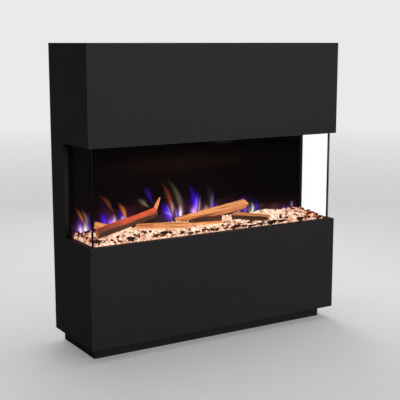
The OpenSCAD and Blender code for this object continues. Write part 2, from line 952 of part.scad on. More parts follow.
// The moulding that holds the buttons and the rocker, flush with the top
module control_panel() {
  gap = 0.3;
  low = [panel_x - panel_l / 2 + gap, panel_y - panel_w / 2 + gap, z_top - panel_h];
  high = [panel_x + panel_l / 2 - gap, panel_y + panel_w / 2 - gap, z_top];
  rocker_half = rocker_l / 2 + button_gap;
  color("#0f0f10")
    difference() {
      block(low, high);
      block([low[0] + 2, low[1] + 2, low[2] - cut],
            [rocker_x - rocker_half - 3, high[1] - 2, z_top - panel_skin]);
      block([rocker_x + rocker_half + 3, low[1] + 2, low[2] - cut],
            [high[0] - 2, high[1] - 2, z_top - panel_skin]);
      block([rocker_x - rocker_half, panel_y - rocker_w / 2 - 1.2, low[2] - cut],
            [rocker_x + rocker_half, panel_y + rocker_w / 2 + 1.2, z_top + cut]);
      shaft_x(rocker_x - rocker_half - pivot_l - 0.2, 2 * (rocker_half + pivot_l + 0.2),
              pivot_r + run_fit, panel_y, pivot_z);
      for (i = [0 : 2])
        translate([button_x0 + i * button_pitch, panel_y, z_top - panel_skin - cut])
          cylinder(h = panel_skin + 2 * cut, r = button_r + button_gap);
    }
}

// The small board under the buttons, with the three switches that they press
module button_board() {
  board_z = z_top - panel_h + 1;
  x0 = rocker_x + rocker_l / 2 + button_gap + 3;
  x1 = panel_x + panel_l / 2 - 0.3 - 2;
  y1 = panel_w / 2 - 0.3 - 2;
  color("#2c6e49")
    union() {
      block([x0, panel_y - y1, board_z], [x1, panel_y + y1, board_z + pcb_t]);
      for (i = [0 : 2])
        translate([button_x0 + i * button_pitch, panel_y, board_z + pcb_t]) {
          translate([-3, -3, 0])
            cube([6, 6, 3.5]);
          cylinder(h = 4.6, r = 1.7);
        }
    }
}

// The mains rocker, lying over to its off side
module power_rocker() {
  side = [for (a = [0 : 15 : 180]) [-rocker_w / 2 * cos(a), -8 * sin(a)]];
  color("#1a1a1a")
    translate([0, panel_y, pivot_z])
      rotate([-rocker_tilt, 0, 0])
        union() {
          translate([rocker_x - rocker_l / 2, 0, 0])
            rotate([90, 0, 90])
              linear_extrude(rocker_l)
                polygon(concat(side, [[rocker_w / 2, 1.4], [0, 2.6], [-rocker_w / 2, 1.4]]));
          shaft_x(rocker_x - rocker_l / 2 - pivot_l, rocker_l + 2 * pivot_l, pivot_r, 0, 0);
        }
}

// A push button: its cap, and the collar that keeps it in the panel
module push_button(i) {
  translate([button_x0 + i * button_pitch, panel_y, 0]) {
    translate([0, 0, z_top - panel_skin - 0.4 - cut])
      cylinder(h = panel_skin + 0.4 + cut - 0.2, r = button_r);
    translate([0, 0, z_top - panel_skin - 2.4])
      cylinder(h = 2, r = button_r + 1.5);
  }
}

module flame_button() {
  color("#2a2b2c")
    push_button(0);
}

module heat_button() {
  color("#2a2b2c")
    push_button(1);
}

module timer_button() {
  color("#2a2b2c")
    push_button(2);
}

left_side_panel();
right_side_panel();
lower_front_panel();
upper_front_panel();
top_panel();
bottom_panel();
insert_shelf();
battens();
lower_back_panel();
upper_back_panel();
plinth_front();
plinth_back();
plinth_sides();
panel_screws();
wall_brackets();
cable_gland();
base_tray();
back_casing();
top_housing();
lower_glass_channel();
upper_glass_channel();
front_glass();
left_glass();
right_glass();
corner_seals();
flame_screen();
flame_diffuser();
screen_rails();
flame_plate();
rotor_brackets();
rotor_bush();
rotor_rod();
rotor_vanes();
flame_motor();
flame_led_board();
bed_tray();
bed_led_boards();
fuel_crystals();
ember_chips();
log_left_long();
log_left_stub();
log_left_split();
log_left_tip();
log_right_split();
log_right_rear();
log_right_bark();
log_right_strip();
receiver_window();
heater_housing();
heating_element();
blower_impeller();
blower_motor();
outlet_grille();
control_board();
control_panel();
button_board();
power_rocker();
flame_button();
heat_button();
timer_button();
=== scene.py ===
import math

import bpy
import numpy as np
from mathutils import Euler, Matrix, Vector, noise


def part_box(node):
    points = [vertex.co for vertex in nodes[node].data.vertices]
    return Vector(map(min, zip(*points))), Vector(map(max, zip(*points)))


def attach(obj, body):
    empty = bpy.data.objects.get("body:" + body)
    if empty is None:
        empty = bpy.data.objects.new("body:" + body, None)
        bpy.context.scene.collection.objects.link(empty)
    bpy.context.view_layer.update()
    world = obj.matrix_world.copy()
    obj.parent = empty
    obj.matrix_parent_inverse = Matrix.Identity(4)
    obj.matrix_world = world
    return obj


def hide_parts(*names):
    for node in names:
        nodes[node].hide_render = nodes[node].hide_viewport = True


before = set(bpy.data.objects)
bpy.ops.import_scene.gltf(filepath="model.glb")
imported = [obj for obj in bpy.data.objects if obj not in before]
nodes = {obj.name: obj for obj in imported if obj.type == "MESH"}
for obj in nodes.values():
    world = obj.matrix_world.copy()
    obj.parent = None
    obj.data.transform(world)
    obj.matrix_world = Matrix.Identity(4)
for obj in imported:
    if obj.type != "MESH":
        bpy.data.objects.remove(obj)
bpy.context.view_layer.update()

bpy.ops.object.select_all(action="DESELECT")


# ---------------------------------------------------------------- Camera
# A long lens as high as the cabinet's top, to the left of its front and tilted down, so that
# the front, the left side and the whole window are seen at once.
CAMERA_PLACE = (-1.84735, -3.01094, 1.142)
TILTED_DOWN, TURNED_RIGHT = 9.884, 31.5787  # degrees
LENS, SENSOR = 81.63, 36  # mm

bpy.ops.object.camera_add(
    location=CAMERA_PLACE,
    rotation=(math.radians(90 - TILTED_DOWN), 0, math.radians(-TURNED_RIGHT)),
)
camera = bpy.context.object
camera.name = "studio_camera"
camera.data.lens = LENS
camera.data.sensor_width = SENSOR
bpy.context.scene.camera = camera
bpy.context.scene.view_settings.view_transform = "Standard"


# ---------------------------------------------------------------- Studio floor, sky and lamps
# A pale matt floor that runs out into a pale backdrop all round, with soft lamps overhead.
# Polished faces see a dark room, so that glass and lacquer stay deep black.
NEAR_FLOOR = (0.63, 0.625, 0.628, 1)
HORIZON = (0.82, 0.82, 0.82, 1)
ZENITH = (0.85, 0.85, 0.85, 1)
# Seen through glass, the floor and sky shine brighter than elsewhere: painted light.
THROUGH_GLASS = (1.28, 1.25, 1.25, 1)
AMBIENT = (0.39, 0.385, 0.41, 1)
DARK_ROOM = (0.010, 0.010, 0.011, 1)
FLOOR_DARK, FLOOR_LIGHT = (0.69, 0.67, 0.68, 1), (0.73, 0.71, 0.72, 1)
FLOOR_RADIUS = 30
# Metres from the middle between which the painted floor gives way to the backdrop, and the
# backdrop pales to the horizon. Below the cabinet the floor still glows with a third of the backdrop's light:
# painted light that softens the cabinet's shadow.
FLOOR_ENDS, HORIZON_NEARS = (1.1, 2.9), (3.4, 9.0)
SHADOW_SOFTENING_GLOW = 0.32
HORIZON_BAND = 0.22
LAMPS_AIM = Vector((0, 0, 0.6))
# Place and width in metres, then watts.
LAMPS = (
    ("key_lamp", (2.6, -5.4, 1.9), 2.6, 92),
    ("top_lamp", (0.8, 0.6, 4.2), 3.0, 90),
    ("rear_lamp", (1.2, 4.2, 3.4), 3.0, 120),
)


def fill(tree, node, inputs):
    """Sets a node's sockets, or links them where the value is another node's socket."""
    for key, value in inputs.items():
        if isinstance(value, bpy.types.NodeSocket):
            tree.links.new(value, node.inputs[key])
        else:
            node.inputs[key].default_value = value


def wire(tree, kind, inputs=None, **settings):
    """A new shader node, with its settings made and its sockets filled."""
    node = tree.nodes.new("ShaderNode" + kind)
    for key, value in settings.items():
        setattr(node, key, value)
    fill(tree, node, inputs or {})
    return node


def own_place(tree):
    return wire(tree, "TexCoord").outputs["Object"]


def speckle(tree, place, scale, detail=2.0, rough=0.5):
    return wire(tree, "TexNoise", {"Vector": place, "Scale": scale, "Detail": detail,
                                   "Roughness": rough}).outputs["Fac"]


def spread(tree, value, low, high, to_low=0.0, to_high=1.0):
    return wire(tree, "MapRange", {"Value": value, "From Min": low, "From Max": high,
                                   "To Min": to_low, "To Max": to_high}).outputs[0]


def mix_colour(tree, factor, first, second, how="MIX"):
    return wire(tree, "Mix", {0: factor, 6: first, 7: second}, data_type="RGBA", blend_type=how).outputs[2]


def mix_shader(tree, factor, first, second):
    return wire(tree, "MixShader", {0: factor, 1: first, 2: second}).outputs[0]


def light_of(tree, colour):
    return wire(tree, "Emission", {"Color": colour}).outputs[0]


def new_finish(name):
    """A material with its Principled shader, as (material, node tree, shader)."""
    finish = bpy.data.materials.new(name)
    finish.use_nodes = True
    return finish, finish.node_tree, finish.node_tree.nodes["Principled BSDF"]


bpy.ops.mesh.primitive_circle_add(vertices=96, radius=FLOOR_RADIUS, fill_type="NGON")
floor = bpy.context.object
floor.name = "studio_floor"

floor_paint, tree, shader = new_finish("studio_floor_paint")
place = own_place(tree)
away = wire(tree, "VectorMath", {0: place}, operation="LENGTH").outputs["Value"]
run_out = mix_colour(tree, spread(tree, away, *HORIZON_NEARS), NEAR_FLOOR, HORIZON)
fill(tree, shader, {
    "Base Color": mix_colour(tree, speckle(tree, place, 3.0, 4.0), FLOOR_DARK, FLOOR_LIGHT),
    "Roughness": 0.9,
    "Specular IOR Level": 0.0,
})
ray = wire(tree, "LightPath").outputs
# Painted light: near the cabinet a third of the floor is the backdrop's glow, which softens the cabinet's
# shadow.
far = spread(tree, away, *FLOOR_ENDS, SHADOW_SOFTENING_GLOW, 1.0)
seen = mix_shader(tree, far, shader.outputs[0], light_of(tree, run_out))
# Painted light: through glass the floor shows as a bright glow.
seen = mix_shader(tree, ray["Is Transmission Ray"], seen, light_of(tree, THROUGH_GLASS))
lit_floor = mix_shader(tree, spread(tree, away, *FLOOR_ENDS), shader.outputs[0], light_of(tree, AMBIENT))
seen = mix_shader(tree, ray["Diffuse Depth"], seen, lit_floor)
seen = mix_shader(tree, ray["Glossy Depth"], seen, light_of(tree, DARK_ROOM))
fill(tree, tree.nodes["Material Output"], {"Surface": seen})
floor.data.materials.append(floor_paint)

world = bpy.data.worlds.new("studio_sky")
bpy.context.scene.world = world
world.use_nodes = True
tree = world.node_tree
ray = wire(tree, "LightPath").outputs
up = wire(tree, "SeparateXYZ", {0: wire(tree, "TexCoord").outputs["Generated"]}).outputs["Z"]
sky = mix_colour(tree, spread(tree, up, 0.0, HORIZON_BAND), HORIZON, ZENITH)
sky = mix_colour(tree, ray["Is Transmission Ray"], sky, THROUGH_GLASS)
sky = mix_colour(tree, ray["Diffuse Depth"], sky, AMBIENT)
sky = mix_colour(tree, ray["Glossy Depth"], sky, DARK_ROOM)
fill(tree, tree.nodes["Background"], {"Color": sky})

for name, spot, size, watts in LAMPS:
    bpy.ops.object.light_add(type="AREA", location=spot)
    lamp = bpy.context.object
    lamp.name = name
    lamp.data.size = size
    lamp.data.energy = watts
    lamp.rotation_euler = (LAMPS_AIM - Vector(spot)).to_track_quat("-Z", "Y").to_euler()


# ---------------------------------------------------------------- Cabinet boards
# 15 mm boards in matt black lacquer: two C-shaped sides, two mitred fronts and the top.
# The spray leaves a fine orange peel. The arrises are a little paler: partly rubbed by handling, partly a
# painted highlight where a rounded edge would catch the light.
LACQUER_DARK = (0.0212, 0.0184, 0.0190)
LACQUER_LIGHT = (0.0248, 0.0216, 0.0223)
LACQUER_EDGE_WEAR_AND_HIGHLIGHT = (0.034, 0.032, 0.031)
SAWN_EDGE_SHADE = (0.0035, 0.0035, 0.0035, 1)
SAWN_DEPTH = 0.0008
WEAR_GRAIN = 60.0


def calc(tree, operation, *values, kind="Math", **settings):
    return wire(tree, kind, dict(enumerate(values)), operation=operation, **settings).outputs[0]


def bump(tree, height, strength, depth):
    return wire(tree, "Bump", {"Height": height, "Strength": strength, "Distance": depth}).outputs[0]


def new_group(name, takes, gives):
    """A shader node group, as (group, its input node's sockets, its output node)."""
    group = bpy.data.node_groups.new(name, "ShaderNodeTree")
    for label, kind in takes:
        group.interface.new_socket(label, in_out="INPUT", socket_type="NodeSocket" + kind)
    for label, kind in gives:
        group.interface.new_socket(label, in_out="OUTPUT", socket_type="NodeSocket" + kind)
    return group, group.nodes.new("NodeGroupInput").outputs, group.nodes.new("NodeGroupOutput")


# A mask along a part's edges, for edge wear and for painted highlight or shade there.
edge_wear_and_painted_light, given, result = new_group(
    "edge_wear_and_painted_light",
    (("Position", "Vector"), ("Centre", "Vector"), ("Half Size", "Vector"),
     ("Width", "Float"), ("Grain", "Float")),
    (("Mask", "Float"),),
)
from_centre = calc(edge_wear_and_painted_light, "SUBTRACT", given["Position"], given["Centre"], kind="VectorMath")
from_centre = calc(edge_wear_and_painted_light, "ABSOLUTE", from_centre, kind="VectorMath")
inside = calc(edge_wear_and_painted_light, "SUBTRACT", given["Half Size"], from_centre, kind="VectorMath")
inside = wire(edge_wear_and_painted_light, "SeparateXYZ", {0: inside}).outputs
less = calc(edge_wear_and_painted_light, "MINIMUM", inside[0], inside[1])
more = calc(edge_wear_and_painted_light, "MAXIMUM", inside[0], inside[1])
to_edge = calc(edge_wear_and_painted_light, "MAXIMUM", less, calc(edge_wear_and_painted_light, "MINIMUM", more, inside[2]))
chatter = speckle(edge_wear_and_painted_light, given["Position"], given["Grain"], 3.0)
reach = calc(edge_wear_and_painted_light, "MULTIPLY", calc(edge_wear_and_painted_light, "MULTIPLY", chatter, given["Width"]), 2.0)
wear_and_light_mask = calc(edge_wear_and_painted_light, "SUBTRACT", 1.0, calc(edge_wear_and_painted_light, "DIVIDE", to_edge, reach), use_clamp=True)
fill(edge_wear_and_painted_light, result, {"Mask": wear_and_light_mask})

spray_grain, given, result = new_group(
    "spray_grain",
    (("Position", "Vector"), ("Fine", "Float"), ("Broad", "Float")),
    (("Shade", "Float"), ("Height", "Float")),
)
peel = speckle(spray_grain, given["Position"], given["Fine"])
cloud = speckle(spray_grain, given["Position"], given["Broad"], 5.0)
shade = calc(spray_grain, "MULTIPLY_ADD", peel, 0.25, cloud)
fill(spray_grain, result, {"Shade": spread(spray_grain, shade, 0.35, 0.95), "Height": peel})


def dress(name, finish):
    """Gives every material slot of a CAD node the finish."""
    item = nodes[name]
    if not item.material_slots:
        item.data.materials.append(finish)
    for slot in item.material_slots:
        slot.material = finish


def painted(name, dark, light, rub, rough=0.45, fine=900.0, broad=5.0, wear=0.0014, depth=0.00006,
            gloss=0.5, cut=None):
    """Sprayed paint or powder coat fitted to one node's own box. Colours are grey or RGB. Cut is
    (Y of an upright sawn edge, middle and half height of it): there the colour is darkened to dull black, as
    painted shade."""
    dark, light, rub = ((*tone, 1) if isinstance(tone, tuple) else (tone, tone, tone, 1)
                        for tone in (dark, light, rub))
    finish, tree, shader = new_finish(name + "_paint")
    place = own_place(tree)
    low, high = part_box(name)
    grain = wire(tree, "Group", node_tree=spray_grain)
    fill(tree, grain, {"Position": place, "Fine": fine, "Broad": broad})
    edge_wear_and_light = wire(tree, "Group", node_tree=edge_wear_and_painted_light)
    fill(tree, edge_wear_and_light, {"Position": place, "Centre": (low + high) / 2, "Half Size": (high - low) / 2,
                      "Width": wear, "Grain": WEAR_GRAIN})
    colour = mix_colour(tree, grain.outputs["Shade"], dark, light)
    # Along the edges the rub colour is wear, and also a painted highlight where it is paler; on the flame
    # diffuser it is a dark rim of painted shade.
    colour = mix_colour(tree, edge_wear_and_light.outputs["Mask"], colour, rub)
    if cut:
        edge_y, middle, half_height = cut
        spot = wire(tree, "SeparateXYZ", {0: place}).outputs
        # Painted shade: the sawn edge in the window's recess is darkened to dull black.
        at_edge = calc(tree, "COMPARE", spot["Y"], edge_y, SAWN_DEPTH)
        in_reach = calc(tree, "COMPARE", spot["Z"], middle, half_height)
        colour = mix_colour(tree, calc(tree, "MULTIPLY", at_edge, in_reach), colour, SAWN_EDGE_SHADE)
    fill(tree, shader, {
        "Base Color": colour,
        "Roughness": spread(tree, grain.outputs["Shade"], 0.0, 1.0, rough - 0.05, rough + 0.06),
        "Normal": bump(tree, grain.outputs["Height"], 0.5, depth),
        "Specular IOR Level": gloss,
    })
    dress(name, finish)


# The sawn edge is the rear upright of the window's opening, forward of the board's own rear. The side boards
# darken it to dull black: painted shade in the window's recess.
window_low, window_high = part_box("lower_front_panel")[1].z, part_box("upper_front_panel")[0].z
FORWARD_OF, SLACK = 0.1, 0.001
sawn_y = max(v.co.y for v in nodes["left_side_panel"].data.vertices
             if v.co.y < FORWARD_OF and window_low - SLACK < v.co.z < window_high + SLACK)
window_edge_shade = (sawn_y, (window_low + window_high) / 2, (window_high - window_low) / 2)
for name in ("lower_front_panel", "upper_front_panel", "top_panel", "left_side_panel", "right_side_panel"):
    painted(name, LACQUER_DARK, LACQUER_LIGHT, LACQUER_EDGE_WEAR_AND_HIGHLIGHT, rough=0.55, gloss=0.25,
            cut=window_edge_shade if "side" in name else None)


# ---------------------------------------------------------------- Plinth, base and shelf boards
# The plinth boards stand back from the cabinet, in the same lacquer. The base and the shelf
# that carries the fire are plain black melamine board.
for name in ("plinth_front", "plinth_back", "plinth_sides"):
    painted(name, 0.016, 0.020, 0.026, rough=0.55, gloss=0.3)
for name in ("bottom_panel", "insert_shelf"):
    painted(name, 0.012, 0.016, 0.05, rough=0.4, fine=1500.0)


# ---------------------------------------------------------------- Timber battens
# Planed pine strips, screwed inside the corners to hold the boards and the shelf together.
# Pale wood with long brown growth lines and darker pores.
PINE_PALE = (0.62, 0.42, 0.22, 1)
PINE_BROWN = (0.45, 0.25, 0.11, 1)
PINE_PORE = (0.315, 0.175, 0.077, 1)
PINE_STRETCH, PINE_LINES = (60.0, 60.0, 4.0), 40.0

pine, tree, shader = new_finish("battens_wood")
drawn = calc(tree, "MULTIPLY", own_place(tree), PINE_STRETCH, kind="VectorMath")
rings = calc(tree, "SINE", calc(tree, "MULTIPLY", speckle(tree, drawn, 1.0, 3.0), PINE_LINES))
pore = speckle(tree, drawn, 9.0, 5.0, 0.7)
colour = mix_colour(tree, spread(tree, rings, -1.0, 1.0), PINE_PALE, PINE_BROWN)
fill(tree, shader, {
    "Base Color": mix_colour(tree, spread(tree, pore, 0.4, 0.75), colour, PINE_PORE),
    "Roughness": spread(tree, pore, 0.0, 1.0, 0.5, 0.75),
    "Normal": bump(tree, pore, 0.5, 0.0003),
})
dress("battens", pine)


# ---------------------------------------------------------------- Back panels
# 3 mm hardboard with vent slots, smooth side out, screwed to the backs of the boards. Brown
# pressed fibre with dark threads, pale flecks and a slight sheen.
FIBRE_DARK, FIBRE_LIGHT = (0.115, 0.062, 0.032, 1), (0.175, 0.100, 0.052, 1)
FIBRE_THREAD, FIBRE_FLECK = (0.055, 0.028, 0.014, 1), (0.30, 0.19, 0.11, 1)

for name in ("lower_back_panel", "upper_back_panel"):
    finish, tree, shader = new_finish(name + "_fibre")
    place = own_place(tree)
    fibre = speckle(tree, place, 420.0, 4.0, 0.75)
    flecks = wire(tree, "TexVoronoi", {"Vector": place, "Scale": 260.0}, feature="SMOOTH_F1")
    fleck = spread(tree, flecks.outputs["Distance"], 0.12, 0.02, 0.0, 0.8)
    colour = mix_colour(tree, speckle(tree, place, 7.0, 6.0), FIBRE_DARK, FIBRE_LIGHT)
    colour = mix_colour(tree, spread(tree, fibre, 0.45, 0.7, 0.0, 0.7), colour, FIBRE_THREAD)
    fill(tree, shader, {
        "Base Color": mix_colour(tree, fleck, colour, FIBRE_FLECK),
        "Roughness": spread(tree, fibre, 0.3, 0.7, 0.38, 0.62),
        "Normal": bump(tree, fibre, 0.4, 0.0002),
    })
    dress(name, finish)


# ---------------------------------------------------------------- Sheet steel of the fire
# Folded steel sheet: black powder coat where it is seen through the glass, bare zinc on the
# rest. The zinc shows the crystal flowers of hot dipping and fine scratches.
ZINC = (0.55, 0.56, 0.58)
BRUSH = (900.0, 60.0, 900.0)
BRIGHT_METALS = {
    "flame_plate": (0.62, 0.62, 0.63), "rotor_rod": (0.60, 0.60, 0.61), "rotor_vanes": (0.80, 0.80, 0.82),
    "flame_motor": (0.42, 0.42, 0.44), "blower_motor": (0.42, 0.42, 0.44), "panel_screws": (0.66, 0.62, 0.50),
}

for name in ("base_tray", "back_casing", "top_housing", "screen_rails"):
    painted(name, 0.0045, 0.0065, 0.012, rough=0.55, fine=1400.0, depth=0.0001, gloss=0.2)
for name in ("lower_glass_channel", "upper_glass_channel"):
    painted(name, 0.0060, 0.0085, 0.018, rough=0.5, fine=1400.0, depth=0.0001, gloss=0.3)

zinc_flowers, given, result = new_group(
    "zinc_flowers",
    (("Position", "Vector"), ("Flower", "Float"), ("Brush", "Vector")),
    (("Flower", "Float"), ("Scratch", "Float")),
)
cells = wire(zinc_flowers, "TexVoronoi", {"Vector": given["Position"], "Scale": given["Flower"]})
cell_tone = wire(zinc_flowers, "SeparateColor", {0: cells.outputs["Color"]}).outputs[0]
brushed = calc(zinc_flowers, "MULTIPLY", given["Position"], given["Brush"], kind="VectorMath")
fill(zinc_flowers, result, {"Flower": cell_tone, "Scratch": speckle(zinc_flowers, brushed, 1.0, 4.0)})


def bare_metal(name, tone, shine=0.35, flower=90.0):
    """Metal without paint. Shine is its least roughness, and flower how many cells to a metre."""
    finish, tree, shader = new_finish(name + "_metal")
    look = wire(tree, "Group", node_tree=zinc_flowers)
    fill(tree, look, {"Position": own_place(tree), "Flower": flower, "Brush": BRUSH})
    flowers, scratch = look.outputs["Flower"], look.outputs["Scratch"]
    colour = mix_colour(tree, flowers, (*[c * 0.8 for c in tone], 1), (*tone, 1))
    bright = (*[min(1, c * 1.3) for c in tone], 1)
    fill(tree, shader, {
        "Base Color": mix_colour(tree, spread(tree, scratch, 0.6, 0.75, 0.0, 0.4), colour, bright),
        "Roughness": spread(tree, flowers, 0.0, 1.0, shine, shine + 0.18),
        "Metallic": 0.9,
        "Normal": bump(tree, scratch, 0.3, 0.0001),
    })
    dress(name, finish)


for name in ("wall_brackets", "heater_housing", "rotor_brackets"):
    bare_metal(name, ZINC)
for name, tone in BRIGHT_METALS.items():
    bare_metal(name, tone, shine=0.22, flower=300.0)


# ---------------------------------------------------------------- Glass panes
# Three panes of clear float glass: one long front pane and two short side panes.
# The rear edges of the side panes are tinted black: painted shade that keeps light from showing through them.
GLASS_LOW, GLASS_HIGH = (0.965, 0.985, 0.975, 1), (0.98, 0.99, 0.985, 1)
GLASS_SHADE = (0.95, 0.96, 0.955, 1)
GLASS_IOR = 1.45
REAR_EDGE_SHADE, REAR_EDGE_REACH = (0.004, 0.005, 0.005, 1), 0.0005

for name in ("front_glass", "left_glass", "right_glass"):
    finish, tree, shader = new_finish(name + "_float")
    place = own_place(tree)
    haze = speckle(tree, place, 14.0, 6.0)
    tint = mix_colour(tree, haze, GLASS_LOW, GLASS_HIGH)
    if name != "front_glass":
        # Painted shade: the rear edge face of a side pane is tinted black.
        spot = wire(tree, "SeparateXYZ", {0: place}).outputs
        rear_edge_shade_mask = calc(tree, "COMPARE", spot["Y"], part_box(name)[1].y, REAR_EDGE_REACH)
        tint = mix_colour(tree, rear_edge_shade_mask, tint, REAR_EDGE_SHADE)
    fill(tree, shader, {
        "Base Color": tint,
        "Roughness": spread(tree, haze, 0.35, 0.8, 0.0, 0.012),
        "Transmission Weight": 1.0,
        "IOR": GLASS_IOR,
    })
    clear = wire(tree, "BsdfTransparent", {"Color": GLASS_SHADE}).outputs[0]
    shade = mix_shader(tree, wire(tree, "LightPath").outputs["Is Shadow Ray"], shader.outputs[0], clear)
    fill(tree, tree.nodes["Material Output"], {"Surface": shade})
    dress(name, finish)


# ---------------------------------------------------------------- Moulded plastic and rubber
# Small moulded parts: black ABS with a fine spark-eroded texture, white nylon, opal acrylic,
# ceramic and rubber, each told apart by its tone, gloss and grain.


def moulded(name, dark, light, rough, fine=1800.0, gloss=0.5, depth=0.00008):
    painted(name, dark, light, light, rough=rough, fine=fine, broad=30.0, wear=0.0004, depth=depth,
            gloss=gloss)


moulded("corner_seals", 0.0040, 0.0065, 0.7, gloss=0.15)
moulded("cable_gland", 0.010, 0.014, 0.5)
moulded("control_panel", 0.014, 0.019, 0.42)
moulded("power_rocker", 0.010, 0.013, 0.25, fine=700.0)
for name in ("flame_button", "heat_button", "timer_button"):
    moulded(name, 0.22, 0.26, 0.38, fine=700.0)
moulded("blower_impeller", 0.020, 0.028, 0.45)
moulded("rotor_bush", 0.72, 0.78, 0.4)
# Opal sheet. A wide band round its rim is darkened to black: painted shade where its pale edge would show
# past the screen.
painted("flame_diffuser", 0.74, 0.80, 0.003, rough=0.5, fine=400.0, broad=30.0, wear=0.03)
moulded("bed_tray", 0.74, 0.80, 0.5, fine=400.0)
moulded("heating_element", (0.62, 0.57, 0.49), (0.72, 0.68, 0.60), 0.6)
moulded("outlet_grille", 0.010, 0.014, 0.5, fine=1400.0)
moulded("receiver_window", (0.014, 0.0065, 0.0045), (0.020, 0.009, 0.006), 0.12, gloss=0.5)


# ---------------------------------------------------------------- Circuit boards
# Glass-fibre boards with etched copper tracks under green lacquer, screwed or clipped behind
# the controls, in the housing and under the fuel bed.
LACQUER_GREEN = (0.010, 0.085, 0.030, 1), (0.014, 0.120, 0.042, 1)
TRACK_GREEN = (0.05, 0.22, 0.07, 1)

for name in ("flame_led_board", "bed_led_boards", "control_board", "button_board"):
    finish, tree, shader = new_finish(name + "_lacquer")
    place = own_place(tree)
    tracks = wire(tree, "TexVoronoi", {"Vector": place, "Scale": 160.0}, distance="CHEBYCHEV",
                  feature="DISTANCE_TO_EDGE").outputs["Distance"]
    copper = spread(tree, tracks, 0.10, 0.06)
    colour = mix_colour(tree, speckle(tree, place, 60.0), *LACQUER_GREEN)
    fill(tree, shader, {
        "Base Color": mix_colour(tree, copper, colour, TRACK_GREEN),
        "Roughness": 0.32,
        "Normal": bump(tree, copper, 0.5, 0.0001),
    })
    dress(name, finish)


# ---------------------------------------------------------------- Flame screen
# A smoked, part-silvered pane. The rotor and the lamps behind it throw narrow leaning tongues
# of blue, violet, orange and olive light on its face, brightest just above the fuel bed.
COLUMNS, ROWS = 418, 122
CROWD_LOW = 1.45  # the rows of the grid stand closer together low down, where the flames are
BLUE = (0.055, 0.006, 0.98)
VIOLET = (0.30, 0.06, 0.88)
PINK = (1.0, 0.62, 0.85)
WHITE = (1.0, 0.95, 0.90)
ORANGE = (1.0, 0.24, 0.05)
PALE = (0.85, 0.50, 0.30)
RUST = (0.42, 0.09, 0.035)
OLIVE = (0.17, 0.145, 0.07)
# Tip, foot and half width in mm from the middle and the floor, colour, strength, bend.
tongues = (
    (-503, 533, -474, 478, 3.2, ORANGE, 0.80, 2),
    (-480, 526, -460, 466, 4.0, PALE, 0.55, 5),
    (-452, 512, -448, 432, 5.0, VIOLET, 0.60, -3),
    (-490, 500, -490, 430, 8.0, VIOLET, 0.90, 3),
    (-470, 482, -466, 440, 4.0, WHITE, 1.10, 1),
    (-487, 470, -486, 436, 4.0, WHITE, 1.00, 0),
    (-411, 574, -362, 516, 4.5, RUST, 0.55, 6),
    (-412, 560, -380, 480, 9.0, (0.08, 0.015, 0.14), 0.25, 3),
    (-408, 508, -388, 462, 6.0, BLUE, 1.30, 2),
    (-384, 520, -352, 466, 7.0, (0.30, 0.05, 0.30), 0.30, 3),
    (-372, 492, -366, 456, 7.0, VIOLET, 0.95, 1),
    (-352, 498, -352, 458, 5.0, PINK, 1.00, 2),
    (-332, 536, -303, 480, 4.5, ORANGE, 1.25, 5),
    (-330, 512, -318, 460, 6.0, BLUE, 0.85, 2),
    (-316, 490, -312, 462, 6.0, WHITE, 0.95, 1),
    (-228, 594, -190, 536, 6.0, (0.055, 0.010, 0.42), 0.75, 4),
    (-252, 546, -210, 516, 5.0, (0.34, 0.26, 0.17), 0.80, 2),
    (-141, 600, -100, 488, 6.0, RUST, 0.80, 8),
    (-116, 612, -60, 486, 6.5, OLIVE, 0.85, 12),
    (-90, 580, -48, 490, 3.0, (0.26, 0.11, 0.14), 0.60, 8),
    (-144, 520, -108, 452, 8.0, BLUE, 1.30, 4),
    (-128, 520, -100, 456, 3.0, (0.55, 0.40, 0.95), 0.70, 3),
    (-140, 484, -100, 468, 3.0, (0.60, 0.50, 0.60), 0.60, 3),
    (-104, 530, -94, 480, 4.0, PALE, 0.85, 3),
    (-84, 500, -76, 452, 4.0, (0.55, 0.30, 0.45), 0.70, 1),
    (-76, 492, -66, 452, 6.0, BLUE, 1.10, 1),
    (-60, 512, -60, 456, 4.0, WHITE, 1.10, 1),
    (-48, 545, -52, 470, 6.0, (0.20, 0.05, 0.12), 0.25, 0),
    (-16, 580, 12, 474, 7.0, BLUE, 0.95, 6),
    (24, 550, 10, 466, 7.0, BLUE, 1.10, -4),
    (20, 540, 14, 470, 3.0, (0.60, 0.35, 1.0), 0.90, -2),
    (4, 500, 2, 462, 8.0, PINK, 0.80, 0),
    (32, 530, 28, 462, 4.0, PALE, 0.80, -2),
    (60, 496, 62, 458, 9.0, (1.0, 0.60, 0.45), 0.80, 1),
    (68, 580, 84, 490, 8.0, (0.055, 0.045, 0.035), 0.70, 4),
    (94, 544, 88, 466, 4.5, (0.22, 0.20, 0.70), 0.95, -2),
    (102, 500, 98, 462, 7.0, BLUE, 0.85, 0),
    (116, 490, 118, 462, 6.0, (0.95, 0.42, 0.30), 0.60, 0),
    (150, 500, 160, 460, 8.0, (0.20, 0.04, 0.22), 0.40, 0),
    (246, 516, 243, 490, 6.0, (0.12, 0.03, 0.60), 0.55, 0),
    (214, 476, 222, 446, 5.0, (0.60, 0.45, 0.95), 0.90, 0),
    (254, 482, 250, 446, 7.0, VIOLET, 0.85, 2),
    (284, 486, 290, 432, 5.0, WHITE, 0.95, 3),
    (296, 476, 286, 438, 3.0, (0.9, 0.95, 0.85), 0.60, -2),
    (306, 488, 308, 446, 6.0, BLUE, 0.65, 1),
    (270, 476, 274, 440, 4.0, (0.30, 0.33, 0.20), 0.60, 0),
    (448, 462, 452, 432, 9.0, (0.10, 0.03, 0.80), 0.45, 0),
    (493, 474, 494, 446, 4.0, (0.50, 0.35, 0.90), 0.75, 0),
    (400, 476, 404, 440, 9.0, (0.20, 0.04, 0.06), 0.40, 0),
)
